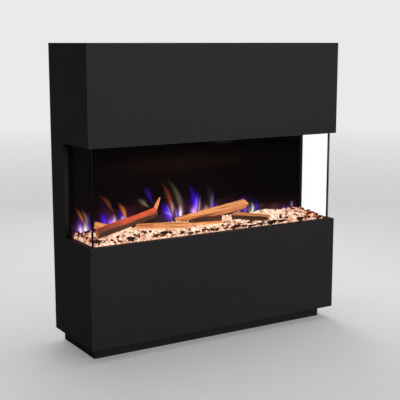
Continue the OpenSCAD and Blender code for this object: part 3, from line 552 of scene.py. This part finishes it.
# Middle, reach across, reach up, colour: the soft light that the tongues stand in.
hazes = (
    (-482, 440, 24, 34, (0.11, 0.020, 0.14)),
    (-466, 446, 9, 12, (0.85, 0.70, 0.68)),
    (-488, 444, 8, 16, (0.60, 0.40, 0.85)),
    (-322, 458, 26, 7, (0.80, 0.58, 0.52)),
    (-356, 462, 16, 8, (0.45, 0.28, 0.60)),
    (-58, 470, 7, 14, (0.55, 0.50, 0.50)),
    (62, 468, 18, 8, (0.60, 0.36, 0.26)),
    (2, 470, 12, 12, (0.42, 0.16, 0.50)),
    (-375, 466, 40, 26, (0.060, 0.008, 0.055)),
    (-300, 476, 34, 24, (0.050, 0.007, 0.026)),
    (-250, 486, 60, 36, (0.013, 0.003, 0.009)),
    (-112, 474, 30, 28, (0.055, 0.010, 0.10)),
    (-60, 482, 36, 34, (0.045, 0.008, 0.026)),
    (8, 482, 26, 38, (0.040, 0.006, 0.11)),
    (60, 474, 40, 28, (0.040, 0.009, 0.016)),
    (110, 472, 36, 28, (0.032, 0.006, 0.036)),
    (240, 460, 60, 34, (0.034, 0.008, 0.060)),
    (440, 450, 110, 24, (0.018, 0.004, 0.004)),
    (-60, 672, 280, 30, (0.0075, 0.0028, 0.0016)),
    (-160, 540, 420, 150, (0.0034, 0.0012, 0.0018)),
)
# The bed's glow on the foot of the screen: height of the bed and reach in mm, colour.
BED_TOP, BED_REACH, BED_GLOW = 436, 14, (0.026, 0.006, 0.004)
SCREEN_BLACK, SCREEN_SMEAR = (0.0018, 0.0014, 0.0016, 1), (0.0030, 0.0024, 0.0024, 1)


def mesh_points(item):
    """The points of a mesh, one x, y, z row each."""
    points = np.empty(len(item.data.vertices) * 3)
    item.data.vertices.foreach_get("co", points)
    return points.reshape(-1, 3)


low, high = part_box("flame_screen")
screen_w, screen_h = high.x - low.x, high.z - low.z
bpy.ops.object.select_all(action="DESELECT")
bpy.ops.mesh.primitive_grid_add(x_subdivisions=COLUMNS, y_subdivisions=ROWS, size=2, location=(0, 0, 0))
screen = bpy.context.object
screen.name = "smoked_mirror"
grid = mesh_points(screen)
across = grid[:, 0] * screen_w / 2
rise = low.z + screen_h * ((grid[:, 1] + 1) / 2) ** CROWD_LOW
face = np.column_stack([across, np.full(len(across), low.y), rise])
screen.data.vertices.foreach_set("co", face.ravel())
screen.data.update()
bpy.ops.object.mode_set(mode="EDIT")
bpy.ops.mesh.select_all(action="SELECT")
bpy.ops.mesh.region_to_loop()
bpy.ops.mesh.extrude_edges_move(TRANSFORM_OT_translate={"value": (0, high.y - low.y, 0)})
bpy.ops.mesh.edge_face_add()
bpy.ops.object.mode_set(mode="OBJECT")

light = np.zeros((len(across), 3))
x_mm, z_mm = across * 1000, rise * 1000
for tip_x, tip_z, foot_x, foot_z, half_width, colour, strength, bend in tongues:
    run, climb = tip_x - foot_x, tip_z - foot_z
    length = math.hypot(run, climb)
    along = ((x_mm - foot_x) * run + (z_mm - foot_z) * climb) / length ** 2
    beside = ((x_mm - foot_x) * climb - (z_mm - foot_z) * run) / length
    inside = np.clip(along, 0, 1)
    beside = beside - bend * np.sin(math.pi * inside)
    width = half_width * (0.25 + 1.1 * np.sin(math.pi * np.clip(inside * 0.8 + 0.12, 0, 1)) ** 1.2)
    body = np.exp(-1.15 * np.abs(beside / width) ** 1.5)
    ends = np.clip((along + 0.35) / 0.45, 0, 1) * np.clip((1.10 - along) / 0.80, 0, 1)
    filament = 0.80 + 0.20 * np.cos(beside / half_width * 4.2 + along * 5 + tip_x)
    light += (strength * body * ends ** 1.3 * filament)[:, None] * np.array(colour)
for x, z, wide, tall, colour in hazes:
    light += np.exp(-((x_mm - x) / wide) ** 2 - ((z_mm - z) / tall) ** 2)[:, None] * np.array(colour)
light += np.exp(-np.clip(z_mm - BED_TOP, 0, None) / BED_REACH)[:, None] * np.array(BED_GLOW)
flame = screen.data.color_attributes.new("flame_light", "FLOAT_COLOR", "POINT")
shown = np.ones((len(screen.data.vertices), 4))
shown[:, :3] = 0
shown[:len(light), :3] = light
flame.data.foreach_set("color", shown.ravel())

smoked, tree, shader = new_finish("smoked_mirror_glass")
smear = speckle(tree, own_place(tree), 9.0, 7.0)
fill(tree, shader, {
    "Base Color": mix_colour(tree, smear, SCREEN_BLACK, SCREEN_SMEAR),
    "Roughness": spread(tree, smear, 0.3, 0.8, 0.03, 0.09),
    "Specular IOR Level": 0.22,
    "Emission Color": wire(tree, "Attribute", attribute_name="flame_light").outputs["Color"],
    "Emission Strength": 1.0,
})
screen.data.materials.append(smoked)
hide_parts("flame_screen")
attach(screen, "cabinet")


# ---------------------------------------------------------------- Fuel bed
# Crushed glass crystals heaped on the lit tray, a few layers deep. Light from below fills
# each one: pale peach where it leaves the heap, orange and red down between them.
CRYSTALS, WALL_CRYSTALS, CRYSTAL_KINDS = 5200, 1500, 8
CRYSTAL_SIZES, WALL_SIZES = (0.0028, 0.0066), (0.0026, 0.0048)
DEEPEST, HIGHEST = -0.0055, 0.0040  # of a crystal's middle, from the surface of the heap
BASE_BELOW, WALL_DROP, WALL_REACH, BASE_RIPPLE = 0.007, 0.011, 0.012, 0.0015
FULL_TURN = 6.28
PEACH = np.array((1.10, 0.89, 0.69))
FLESH = np.array((0.93, 0.53, 0.33))
EMBER = np.array((0.34, 0.060, 0.026))
FLAW_DARK, FLAW_LIGHT = (0.78, 0.62, 0.55, 1), (1.1, 1.1, 1.1, 1)
CRYSTAL_DARK, CRYSTAL_LIGHT = (0.30, 0.24, 0.21, 1), (0.42, 0.36, 0.32, 1)
# Middle, reach and height in mm of the places where the heap stands proud or dips.
heaps = ((330, 15, 60, 9), (-300, -70, 70, 6), (-120, -60, 60, 5), (-430, -90, 50, 3), (420, -40, 70, 5),
         (60, -110, 80, 3), (200, -100, 60, -12), (490, 20, 40, 3), (-500, 0, 40, 3), (110, 26, 70, 4))
low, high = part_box("fuel_crystals")
draw = np.random.default_rng(42)


def bed_height(x, y):
    """Height of the heap's surface, in metres, over a place on the tray."""
    x, y = np.asarray(x) * 1000, np.asarray(y) * 1000
    slope = np.clip((y + 136.2) / 60, 0, 1)
    top = 427 + 10 * slope
    for px, py, reach, rise_by in heaps:
        mound = np.exp(-((x - px) / reach) ** 2 - ((y - py) / (reach * 0.6)) ** 2)
        top = top + rise_by * mound * (0.3 + 0.7 * slope)
    return top / 1000


bpy.ops.object.select_all(action="DESELECT")
bpy.ops.mesh.primitive_grid_add(x_subdivisions=180, y_subdivisions=32, size=2)
bed = bpy.context.object
bed.name = "fuel_bed"
grid = mesh_points(bed)
gx = grid[:, 0] * (high.x - 0.0005)
gy = low.y + 0.0005 + (grid[:, 1] + 1) / 2 * (high.y - low.y - 0.001)
# The base sheet lies 7 mm under the heap's surface, and 18 mm under it along the walls.
to_wall = np.minimum(np.minimum(high.x - np.abs(gx), gy - low.y), WALL_REACH) / WALL_REACH
ripple = np.array([noise.noise(Vector((a * 90, b * 90, 3))) for a, b in zip(gx, gy)])
gz = bed_height(gx, gy) - BASE_BELOW - WALL_DROP * (1 - to_wall) + BASE_RIPPLE * ripple
bed.data.vertices.foreach_set("co", np.column_stack([gx, gy, gz]).ravel())
bpy.ops.object.mode_set(mode="EDIT")
bpy.ops.mesh.select_all(action="SELECT")
bpy.ops.mesh.region_to_loop()
bpy.ops.mesh.extrude_edges_move(TRANSFORM_OT_translate={"value": (0, 0, 0)})
bpy.ops.transform.resize(value=(1, 1, 0), center_override=(0, 0, low.z + 0.002))
bpy.ops.mesh.edge_face_add()
bpy.ops.mesh.select_all(action="SELECT")
bpy.ops.mesh.normals_make_consistent(inside=False)
bpy.ops.object.mode_set(mode="OBJECT")


def cleave(cuts, nearest, farthest):
    """Breaks random corners off the active shape, at distances from its middle."""
    bpy.ops.object.mode_set(mode="EDIT")
    for cut in range(cuts):
        bpy.ops.mesh.select_all(action="SELECT")
        lean = Vector(draw.normal(size=3)).normalized()
        bpy.ops.mesh.bisect(plane_co=lean * draw.uniform(nearest, farthest), plane_no=lean,
                            use_fill=True, clear_outer=True)
    bpy.ops.object.mode_set(mode="OBJECT")


def take_shape(item):
    """The points and faces of a small shape. The object itself goes."""
    shape = (np.array([v.co[:] for v in item.data.vertices]), [list(p.vertices) for p in item.data.polygons])
    bpy.data.objects.remove(item)
    return shape


crystal_shapes = []
for kind in range(CRYSTAL_KINDS):
    bpy.ops.object.select_all(action="DESELECT")
    bpy.ops.mesh.primitive_cube_add(size=1.5)
    crystal = bpy.context.object
    crystal.data.transform(Matrix.Diagonal((*draw.uniform(0.65, 1.2, 3), 1)))
    cleave(3, 0.4, 0.65)
    crystal_shapes.append(take_shape(crystal))


def scatter(name, shapes, spots):
    """One mesh from copies of small shapes. Each spot is (shape number, 4x4 matrix)."""
    points, faces, owner, start = [], [], [], 0
    for number, (kind, matrix) in enumerate(spots):
        shape, sides = shapes[kind]
        turned = shape @ np.array(matrix)[:3, :3].T + np.array(matrix)[:3, 3]
        points.append(turned)
        faces += [[start + i for i in side] for side in sides]
        owner += [number] * len(sides)
        start += len(shape)
    mesh = bpy.data.meshes.new(name)
    mesh.from_pydata(np.vstack(points).tolist(), [], faces)
    mesh.update()
    item = bpy.data.objects.new(name, mesh)
    bpy.context.scene.collection.objects.link(item)
    return item, np.array(owner)


def tumbled(x, y, z, size):
    """A spot for a crystal of any shape, turned any way."""
    turn = Euler(draw.uniform(0, FULL_TURN, 3)).to_matrix().to_4x4()
    return int(draw.integers(CRYSTAL_KINDS)), Matrix.Translation((x, y, z)) @ turn @ Matrix.Scale(size, 4)


def ramp(value, start, length):
    return min(max((value - start) / length, 0), 1)


# Light is kept from the right end, the right half of the front edge and the far left end.
spots, glow = [], []
while len(spots) < CRYSTALS:
    x, y = draw.uniform(low.x + 0.003, high.x - 0.003), draw.uniform(low.y + 0.0025, high.y - 0.003)
    size = draw.uniform(*CRYSTAL_SIZES) * (1 if y > low.y + 0.006 else 0.6)
    lift = draw.uniform(DEEPEST, HIGHEST)
    spots.append(tumbled(x, y, float(bed_height(x, y)) + lift, size))
    shaded = 0.10 + 0.75 * ramp(x, 0.38, 0.13) + (0.3 if y < low.y + 0.022 and x > 0.02 else 0)
    shaded += 0.55 * ramp(-x, 0.465, 0.04)
    patch = 1.2 * noise.noise(Vector((x * 52, y * 52, 7)))
    glow.append((lift - DEEPEST) / (HIGHEST - DEEPEST) + patch - shaded)
# More crystals stand against the panes: two along the front for each one at an end.
for count in range(WALL_CRYSTALS):
    along, depth = draw.uniform(0, 1), draw.uniform(0, 1)
    size = draw.uniform(*WALL_SIZES)
    if count % 3:
        x, y = (2 * along - 1) * (high.x - 0.005), low.y + 0.0045 + 0.003 * depth
    else:
        x = (1 if count % 2 else -1) * (high.x - 0.0045 - 0.003 * depth)
        y = low.y + along * (high.y - low.y - 0.008) + 0.004
    spots.append(tumbled(x, y, float(bed_height(x, y)) - draw.uniform(0.0, 0.014), size))
    glow.append(0.45 + 0.9 * noise.noise(Vector((x * 60, y * 60, 2))))
crystals, owner = scatter("crystal_heap", crystal_shapes, spots)
tint = draw.uniform(0, 1, len(spots))
blush = np.clip(1.15 * np.array(glow) + 0.08 + 0.35 * (tint - 0.5), 0, 1)[:, None]
own = EMBER + (FLESH - EMBER) * np.clip(blush * 2, 0, 1)
own += (PEACH - FLESH) * np.clip(blush * 2 - 1, 0, 1)
own *= draw.uniform(0.75, 1.2, (len(spots), 1))
facet = draw.uniform(0.45, 1.35, len(owner))[:, None] * own[owner]
loops = np.repeat(facet, [len(p.vertices) for p in crystals.data.polygons], axis=0)
shine = crystals.data.color_attributes.new("bed_light", "FLOAT_COLOR", "CORNER")
shine.data.foreach_set("color", np.column_stack([loops, np.ones(len(loops))]).ravel())
shine = bed.data.color_attributes.new("bed_light", "FLOAT_COLOR", "CORNER")
base = np.tile((*(EMBER * 0.55), 1.0), (len(bed.data.loops), 1))
shine.data.foreach_set("color", base.ravel())
bpy.ops.object.select_all(action="DESELECT")
crystals.select_set(True)
bed.select_set(True)
bpy.context.view_layer.objects.active = bed
bpy.ops.object.join()

crystal_glass, tree, shader = new_finish("lit_crystal")
flaw = speckle(tree, own_place(tree), 320.0, 3.0)
lit = wire(tree, "Attribute", attribute_name="bed_light").outputs["Color"]
milky = mix_colour(tree, spread(tree, flaw, 0.35, 0.65), FLAW_DARK, FLAW_LIGHT)
fill(tree, shader, {
    "Base Color": mix_colour(tree, flaw, CRYSTAL_DARK, CRYSTAL_LIGHT),
    "Roughness": spread(tree, flaw, 0.3, 0.7, 0.12, 0.35),
    "Emission Color": mix_colour(tree, 1.0, lit, milky, "MULTIPLY"),
    "Emission Strength": 1.05,
})
bed.data.materials.clear()
bed.data.materials.append(crystal_glass)
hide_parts("fuel_crystals")
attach(bed, "cabinet")


# ---------------------------------------------------------------- Ember chips
# Dark cast chips like broken bark, laid by hand along the glass and dropped over the heap.
# Their hollows let some of the light below through, deep red.
CHIP_KINDS, LOOSE_CHIPS, LOOSE_SIZES = 7, 150, (0.006, 0.013)
CHIP_SEED = 42
CRUST_BLACK, CRUST_BROWN = (0.006, 0.0025, 0.002, 1), (0.040, 0.012, 0.007, 1)
CHIP_COLD, CHIP_HOT = (0.004, 0.001, 0.001, 1), (0.42, 0.060, 0.020, 1)
# Place, length and height in mm, turn in degrees, and how much red light comes through.
laid_chips = (
    (-500, -116, 34, 21, 20, 0.15), (-369, -125, 36, 19, 10, 0.1), (-258, -118, 36, 16, 5, 0.35),
    (-214, -112, 38, 19, -10, 0.1), (-236, -122, 26, 14, 30, 0.5), (-144, -121, 26, 12, 15, 0.1),
    (-118, -130, 26, 12, 0, 0.3), (-507, 26, 28, 14, 60, 0.1), (-468, 24, 30, 20, 25, 0.05),
    (-296, -84, 28, 14, -20, 0.9), (-404, -91, 22, 12, 40, 0.5), (-514, -92, 20, 12, 70, 0.8),
    (-92, -130, 26, 10, 10, 0.5), (-50, -120, 24, 12, -15, 0.8), (-26, -130, 36, 12, 5, 0.1),
    (0, -131, 24, 10, 20, 0.3), (40, -130, 24, 10, 10, 0.7), (79, -131, 44, 13, 4, 0.05),
    (120, -130, 26, 10, -8, 0.3), (182, -86, 28, 15, 15, 0.2), (160, -131, 30, 9, 0, 0.1),
    (205, -130, 46, 12, 2, 0.05), (262, -127, 44, 15, 8, 0.05), (308, -128, 34, 12, -6, 0.1),
    (348, -108, 32, 16, 10, 0.15), (330, -92, 26, 16, 50, 0.05), (402, -128, 36, 14, 5, 0.1),
    (440, -124, 26, 12, -12, 0.3), (479, -92, 36, 18, 20, 0.6), (505, -110, 26, 14, 40, 0.2),
    (500, -130, 28, 12, 0, 0.1), (86, -74, 24, 13, -30, 0.7), (-514, -62, 24, 13, 80, 0.3),
    (-512, -24, 24, 12, 100, 0.2), (-508, 2, 22, 14, 30, 0.4), (-330, -104, 16, 10, 10, 0.6),
    (-440, -112, 18, 11, 35, 0.7), (-180, -96, 20, 10, 10, 0.8), (130, -104, 22, 10, 12, 0.8),
    (380, -66, 24, 12, 40, 0.6), (440, -50, 22, 12, -30, 0.7), (505, -50, 24, 14, 60, 0.3),
    (510, -4, 24, 14, 80, 0.2), (470, 10, 24, 12, 20, 0.4),
    (300, 36, 26, 12, 0, 0.05), (250, 38, 24, 10, 0, 0.1),
)

noise.seed_set(CHIP_SEED)  # noise_vector starts from the clock without it
chip_shapes = []
for kind in range(CHIP_KINDS):
    bpy.ops.object.select_all(action="DESELECT")
    bpy.ops.mesh.primitive_ico_sphere_add(subdivisions=2, radius=0.5)
    chip = bpy.context.object
    cleave(4, 0.2, 0.38)
    seed = Vector(draw.uniform(0, 50, 3))
    for v in chip.data.vertices:
        v.co += 0.16 * noise.noise_vector(v.co * 3.1 + seed)
    chip_shapes.append(take_shape(chip))

spots, heat = [], []
for x, y, length, tall, turn, red in laid_chips:
    if x > 60 and y < -115:  # bigger ones lie along the right half of the front pane
        length, tall = length * 1.2, tall * 1.15
    x, y = x / 1000, y / 1000
    x = max(low.x + length / 2400, min(high.x - length / 2400, x))
    deep = tall * draw.uniform(0.8, 1.1) / 1000
    z = float(bed_height(x, y)) + tall * 0.20 / 1000
    lay = Euler((draw.uniform(-0.3, 0.3), draw.uniform(-0.2, 0.2), math.radians(turn))).to_matrix().to_4x4()
    spots.append((int(draw.integers(CHIP_KINDS)), Matrix.Translation((x, max(y, low.y + deep * 0.5), z)) @ lay
                  @ Matrix.Diagonal((length / 1000 * 1.25, deep, tall / 1000 * 1.2, 1))))
    heat.append(red)
for count in range(LOOSE_CHIPS):
    x = draw.uniform(low.x + 0.012, high.x - 0.012)
    y = low.y + 0.008 + abs(draw.normal(0, 0.055))
    if y > high.y - 0.01:
        continue
    size = draw.uniform(*LOOSE_SIZES)
    z = float(bed_height(x, y)) + size * draw.uniform(0.0, 0.25)
    lean = Euler((draw.uniform(-0.5, 0.5), draw.uniform(-0.4, 0.4), draw.uniform(0, FULL_TURN)))
    spots.append((int(draw.integers(CHIP_KINDS)), Matrix.Translation((x, y, z)) @ lean.to_matrix().to_4x4()
                  @ Matrix.Diagonal((size * draw.uniform(1.2, 2.2), size, size * 0.8, 1))))
    heat.append(draw.uniform(0.1, 1.0))
chips, owner = scatter("bark_chips", chip_shapes, spots)
warm = np.repeat(np.array(heat)[owner], [len(p.vertices) for p in chips.data.polygons])
lump = chips.data.attributes.new("chip_heat", "FLOAT", "CORNER")
lump.data.foreach_set("value", warm)

bark_cast, tree, shader = new_finish("ember_bark")
place = own_place(tree)
crust = speckle(tree, place, 190.0, 5.0, 0.7)
cracks = wire(tree, "TexVoronoi", {"Vector": place, "Scale": 150.0}, feature="DISTANCE_TO_EDGE")
seam = spread(tree, cracks.outputs["Distance"], 0.12, 0.0)
heat_in = wire(tree, "Attribute", attribute_name="chip_heat").outputs["Fac"]
hollow = calc(tree, "MAXIMUM", spread(tree, crust, 0.48, 0.72), seam)
hollow = calc(tree, "MULTIPLY", hollow, heat_in)
fill(tree, shader, {
    "Base Color": mix_colour(tree, crust, CRUST_BLACK, CRUST_BROWN),
    "Roughness": spread(tree, crust, 0.3, 0.7, 0.85, 0.6),
    "Specular IOR Level": 0.15,
    "Normal": bump(tree, crust, 0.8, 0.0012),
    "Emission Color": mix_colour(tree, hollow, CHIP_COLD, CHIP_HOT),
    "Emission Strength": 1.0,
})
chips.data.materials.append(bark_cast)
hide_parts("ember_chips")
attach(chips, "cabinet")


# ---------------------------------------------------------------- Cast logs
# Hollow resin castings taken from split firewood and painted by hand. Round sides keep the
# ridged bark, split faces show long pale grain, and light from below glows through them.
BARK_DARK = (0.040, 0.014, 0.007, 1)
BARK_BROWN = (0.150, 0.052, 0.022, 1)
CUT_PALE = (1.00, 0.46, 0.18, 1)
CUT_ORANGE = (0.60, 0.17, 0.045, 1)
CUT_STREAK = (0.30, 0.085, 0.026, 1)
GLOW_RED, GLOW_DULL = (1.12, 0.150, 0.058, 1), (0.42, 0.050, 0.018, 1)
GLOW_NONE = (0.003, 0.001, 0.0005, 1)
SIDES, RINGS, END_RINGS, END_STEP = 40, 54, 4, 0.19
END_FACE = 0.96  # share of the radius, inside which a point is on a sawn end
slot_of = {node: "log_glow" for node in nodes if node.startswith("log_")}
slot_of.update(log_left_long="log_bark", log_right_rear="log_bark", log_right_bark="log_bark")

wood_cast, tree, shader = new_finish("painted_log")
grain_uv = wire(tree, "UVMap", uv_map="grain").outputs[0]


def drawn_out(stretch, detail, rough=0.5):
    """A speckle drawn out along the log's grain."""
    return speckle(tree, calc(tree, "MULTIPLY", grain_uv, stretch, kind="VectorMath"), 1.0, detail, rough)


ridge = drawn_out((22.0, 260.0, 1.0), 5.0, 0.65)
line = drawn_out((9.0, 700.0, 1.0), 4.0)
streak = drawn_out((7.0, 120.0, 1.0), 3.0)
blotch = speckle(tree, grain_uv, 30.0, 3.0)
cut, glow, red = (wire(tree, "Attribute", attribute_name=label).outputs["Fac"]
                  for label in ("cut_face", "log_glow", "log_red"))
bark = mix_colour(tree, spread(tree, ridge, 0.35, 0.7), BARK_DARK, BARK_BROWN)
face = mix_colour(tree, spread(tree, line, 0.35, 0.65), CUT_PALE, CUT_ORANGE)
face = mix_colour(tree, spread(tree, line, 0.58, 0.68, 0.0, 0.85), face, BARK_BROWN)
face = mix_colour(tree, spread(tree, blotch, 0.5, 0.7, 0.0, 0.45), face, CUT_ORANGE)
face = mix_colour(tree, spread(tree, streak, 0.52, 0.60, 0.0, 0.80), face, CUT_STREAK)
hot = mix_colour(tree, spread(tree, ridge, 0.38, 0.72), GLOW_RED, GLOW_DULL)
fade = calc(tree, "MULTIPLY", glow, spread(tree, ridge, 0.25, 0.6, 1.15, 0.75))
fill(tree, shader, {
    "Base Color": mix_colour(tree, cut, bark, face),
    "Roughness": spread(tree, ridge, 0.3, 0.7, 0.75, 0.5),
    "Normal": bump(tree, calc(tree, "ADD", ridge, line), 0.7, 0.0012),
    "Emission Color": mix_colour(tree, fade, GLOW_NONE, mix_colour(tree, red, face, hot)),
    "Emission Strength": 1.0,
})


def pick(item, kind, wanted):
    """Goes into edit mode with only the wanted edges or polygons of a mesh selected."""
    bpy.ops.object.mode_set(mode="OBJECT")
    bpy.context.tool_settings.mesh_select_mode = (False, kind == "edges", kind == "polygons")
    for parts in (item.data.vertices, item.data.edges, item.data.polygons):
        parts.foreach_set("select", [False] * len(parts))
    for part in getattr(item.data, kind):
        part.select = wanted(part)
    bpy.ops.object.mode_set(mode="EDIT")


def cast_log(node, start, end, girth, splits, bark, glow, red, ends, sag=0.0, from_start=1.0):
    """Start and end are in mm, and girth is the radius at the start, middle and end. A split is
    (angle in degrees, distance from the axis as a share of the radius): the log is cleft flat
    there. Glow is that of (underside, top, cut faces), and red how red it is. Ends are how far
    each end is cut on the slant. From start is how much of the top's glow is left at the start."""
    start, end = Vector(start) / 1000, Vector(end) / 1000
    radius = max(girth) / 1000
    length = (end - start).length
    bpy.ops.object.select_all(action="DESELECT")
    bpy.ops.mesh.primitive_cylinder_add(vertices=SIDES, radius=radius, depth=length, end_fill_type="NGON")
    item = bpy.context.object
    item.name = node + "_cast"
    mesh = item.data

    def runs_along(edge):
        one, other = (mesh.vertices[i].co.z for i in edge.vertices)
        return abs(one - other) > length / 2

    pick(item, "edges", runs_along)
    bpy.ops.mesh.subdivide(number_cuts=RINGS)
    pick(item, "polygons", lambda side: abs(side.normal.z) > 0.9)
    for ring in range(END_RINGS):
        bpy.ops.mesh.inset(thickness=radius * END_STEP)
    bpy.ops.mesh.poke()
    bpy.ops.object.mode_set(mode="OBJECT")
    seed = Vector((start.x * 91, start.z * 57, radius * 900))
    cut_mask = np.zeros(len(mesh.vertices))
    grain = np.zeros((len(mesh.vertices), 2))
    for v in mesh.vertices:
        angle, along = math.atan2(v.co.y, v.co.x), v.co.z / length + 0.5
        reach = math.hypot(v.co.x, v.co.y) / radius
        skin = 0.16 * noise.noise(Vector((math.cos(angle) * 1.3, math.sin(angle) * 1.3, v.co.z * 14)) + seed)
        ridges = 0.10 * bark * noise.turbulence(
            Vector((math.cos(angle) * 5, math.sin(angle) * 5, v.co.z * 26)) + seed, 3, True)
        stout = np.interp(along, (0, 0.5, 1), girth) / max(girth)
        spread_by = reach * stout * (1 + skin + ridges)
        x, y = math.cos(angle) * spread_by * radius, math.sin(angle) * spread_by * radius
        on_end = reach < END_FACE
        grain[v.index] = (v.co.z, reach * radius + 0.1 if on_end else angle * radius)
        if on_end:
            cut_mask[v.index] = 0.85
        for degrees, far_off in splits:
            across_x, across_y = math.cos(math.radians(degrees)), math.sin(math.radians(degrees))
            out_by = x * across_x + y * across_y
            side_by = -x * across_y + y * across_x
            splinter = 0.05 * noise.noise(Vector((side_by * 260, v.co.z * 9, degrees)) + seed)
            wave = 0.08 * noise.noise(Vector((degrees, 3, v.co.z * 7)) + seed)
            limit = radius * stout * (far_off + splinter + wave)
            if out_by > limit:
                x += across_x * (limit - out_by)
                y += across_y * (limit - out_by)
                cut_mask[v.index] = 1.0
                grain[v.index] = (v.co.z, side_by + 0.3 + degrees * 0.01)
        slant = ends[1] if v.co.z > 0 else ends[0]
        near_end = max(0.0, abs(along - 0.5) * 2 - 0.86) / 0.14
        z = v.co.z + slant * x * near_end
        z += 0.10 * radius * near_end * noise.noise(Vector((x, y, 0)) * 160 + seed)
        v.co = (x, y + sag * (1 - (2 * along - 1) ** 2), z)
    layer = mesh.uv_layers.new(name="grain")
    for loop in mesh.loops:
        layer.data[loop.index].uv = grain[loop.vertex_index]
    turn = (end - start).normalized().to_track_quat("Z", "Y").to_matrix().to_4x4()
    mesh.transform(Matrix.Translation((start + end) / 2) @ turn)
    mesh.update()
    upward = np.array([v.normal.z for v in mesh.vertices])
    lit_top = np.clip((upward - 0.05) / 0.6, 0, 1)
    lit_top *= np.interp(grain[:, 0] / length + 0.5, (0.1, 0.5), (from_start, 1))
    # Painted shade: cut faces glow less the more they look downwards, down to under a fifth of their glow.
    under = 0.18 + 0.82 * np.clip((upward + 0.30) / 0.5, 0, 1)
    level = np.maximum(glow[0] + (glow[1] - glow[0]) * lit_top, cut_mask * glow[2] * under)
    redness = red * (1 - cut_mask * 0.75)
    for label, values in (("cut_face", cut_mask), ("log_glow", level), ("log_red", redness)):
        attribute = mesh.attributes.new(label, "FLOAT", "POINT")
        attribute.data.foreach_set("value", values)
    mesh.materials.clear()
    mesh.materials.append(wood_cast)
    bpy.ops.object.select_all(action="DESELECT")
    item.select_set(True)
    bpy.context.view_layer.objects.active = item
    bpy.ops.object.shade_smooth_by_angle(angle=math.radians(50))
    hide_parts(node)
    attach(item, "cabinet")


cast_log("log_left_long", (-491, -97, 461.6), (-194, 4, 497), (17, 17, 16),
         (), 1.8, (0.0, 1.0, 0.85), 1.0, (0.5, 0.6), from_start=0.30)
cast_log("log_left_stub", (-448, 15, 473), (-384, 20, 456), (16, 15, 12),
         ((170, 0.4), (90, 0.6)), 0.5, (0.1, 0.7, 0.8), 0.1, (0.5, -0.4))
cast_log("log_left_split", (-290, -18, 454.5), (-104, -92, 455), (12, 15, 16.5),
         ((150, 0.30), (70, 0.8), (270, 0.6)), 0.6, (0.0, 0.4, 0.72), 0.1, (1.2, -0.3))
cast_log("log_left_tip", (-188, 32, 490), (-161, 32, 547), (10, 9, 2.5),
         ((170, 0.4), (270, 0.5)), 0.4, (0.3, 0.7, 0.85), 0.35, (0, 0.5))
cast_log("log_right_split", (-128, -30, 468), (218, 9, 491.5), (7, 20, 20),
         ((140, 0.62), (215, 0.66), (60, 0.8)), 0.6, (0.1, 0.6, 0.80), 0.05, (0.3, -0.8), sag=-0.004)
cast_log("log_right_rear", (141, -27, 456), (256, -113.5, 451.5), (17, 16.5, 12),
         ((100, 0.42),), 1.2, (0.0, 0.05, 0.62), 0.3, (0.3, 0.3))
cast_log("log_right_bark", (-59, -12, 452), (76, -45, 452), (11, 11, 10),
         (), 1.6, (0.0, 0.06, 0.15), 0.9, (0.3, 0.3))
cast_log("log_right_strip", (-80, -62, 448.5), (57, -84, 447.5), (7, 8, 7),
         ((170, 0.4), (90, 0.5)), 0.5, (0.1, 0.5, 0.62), 0.3, (0.5, -0.5))
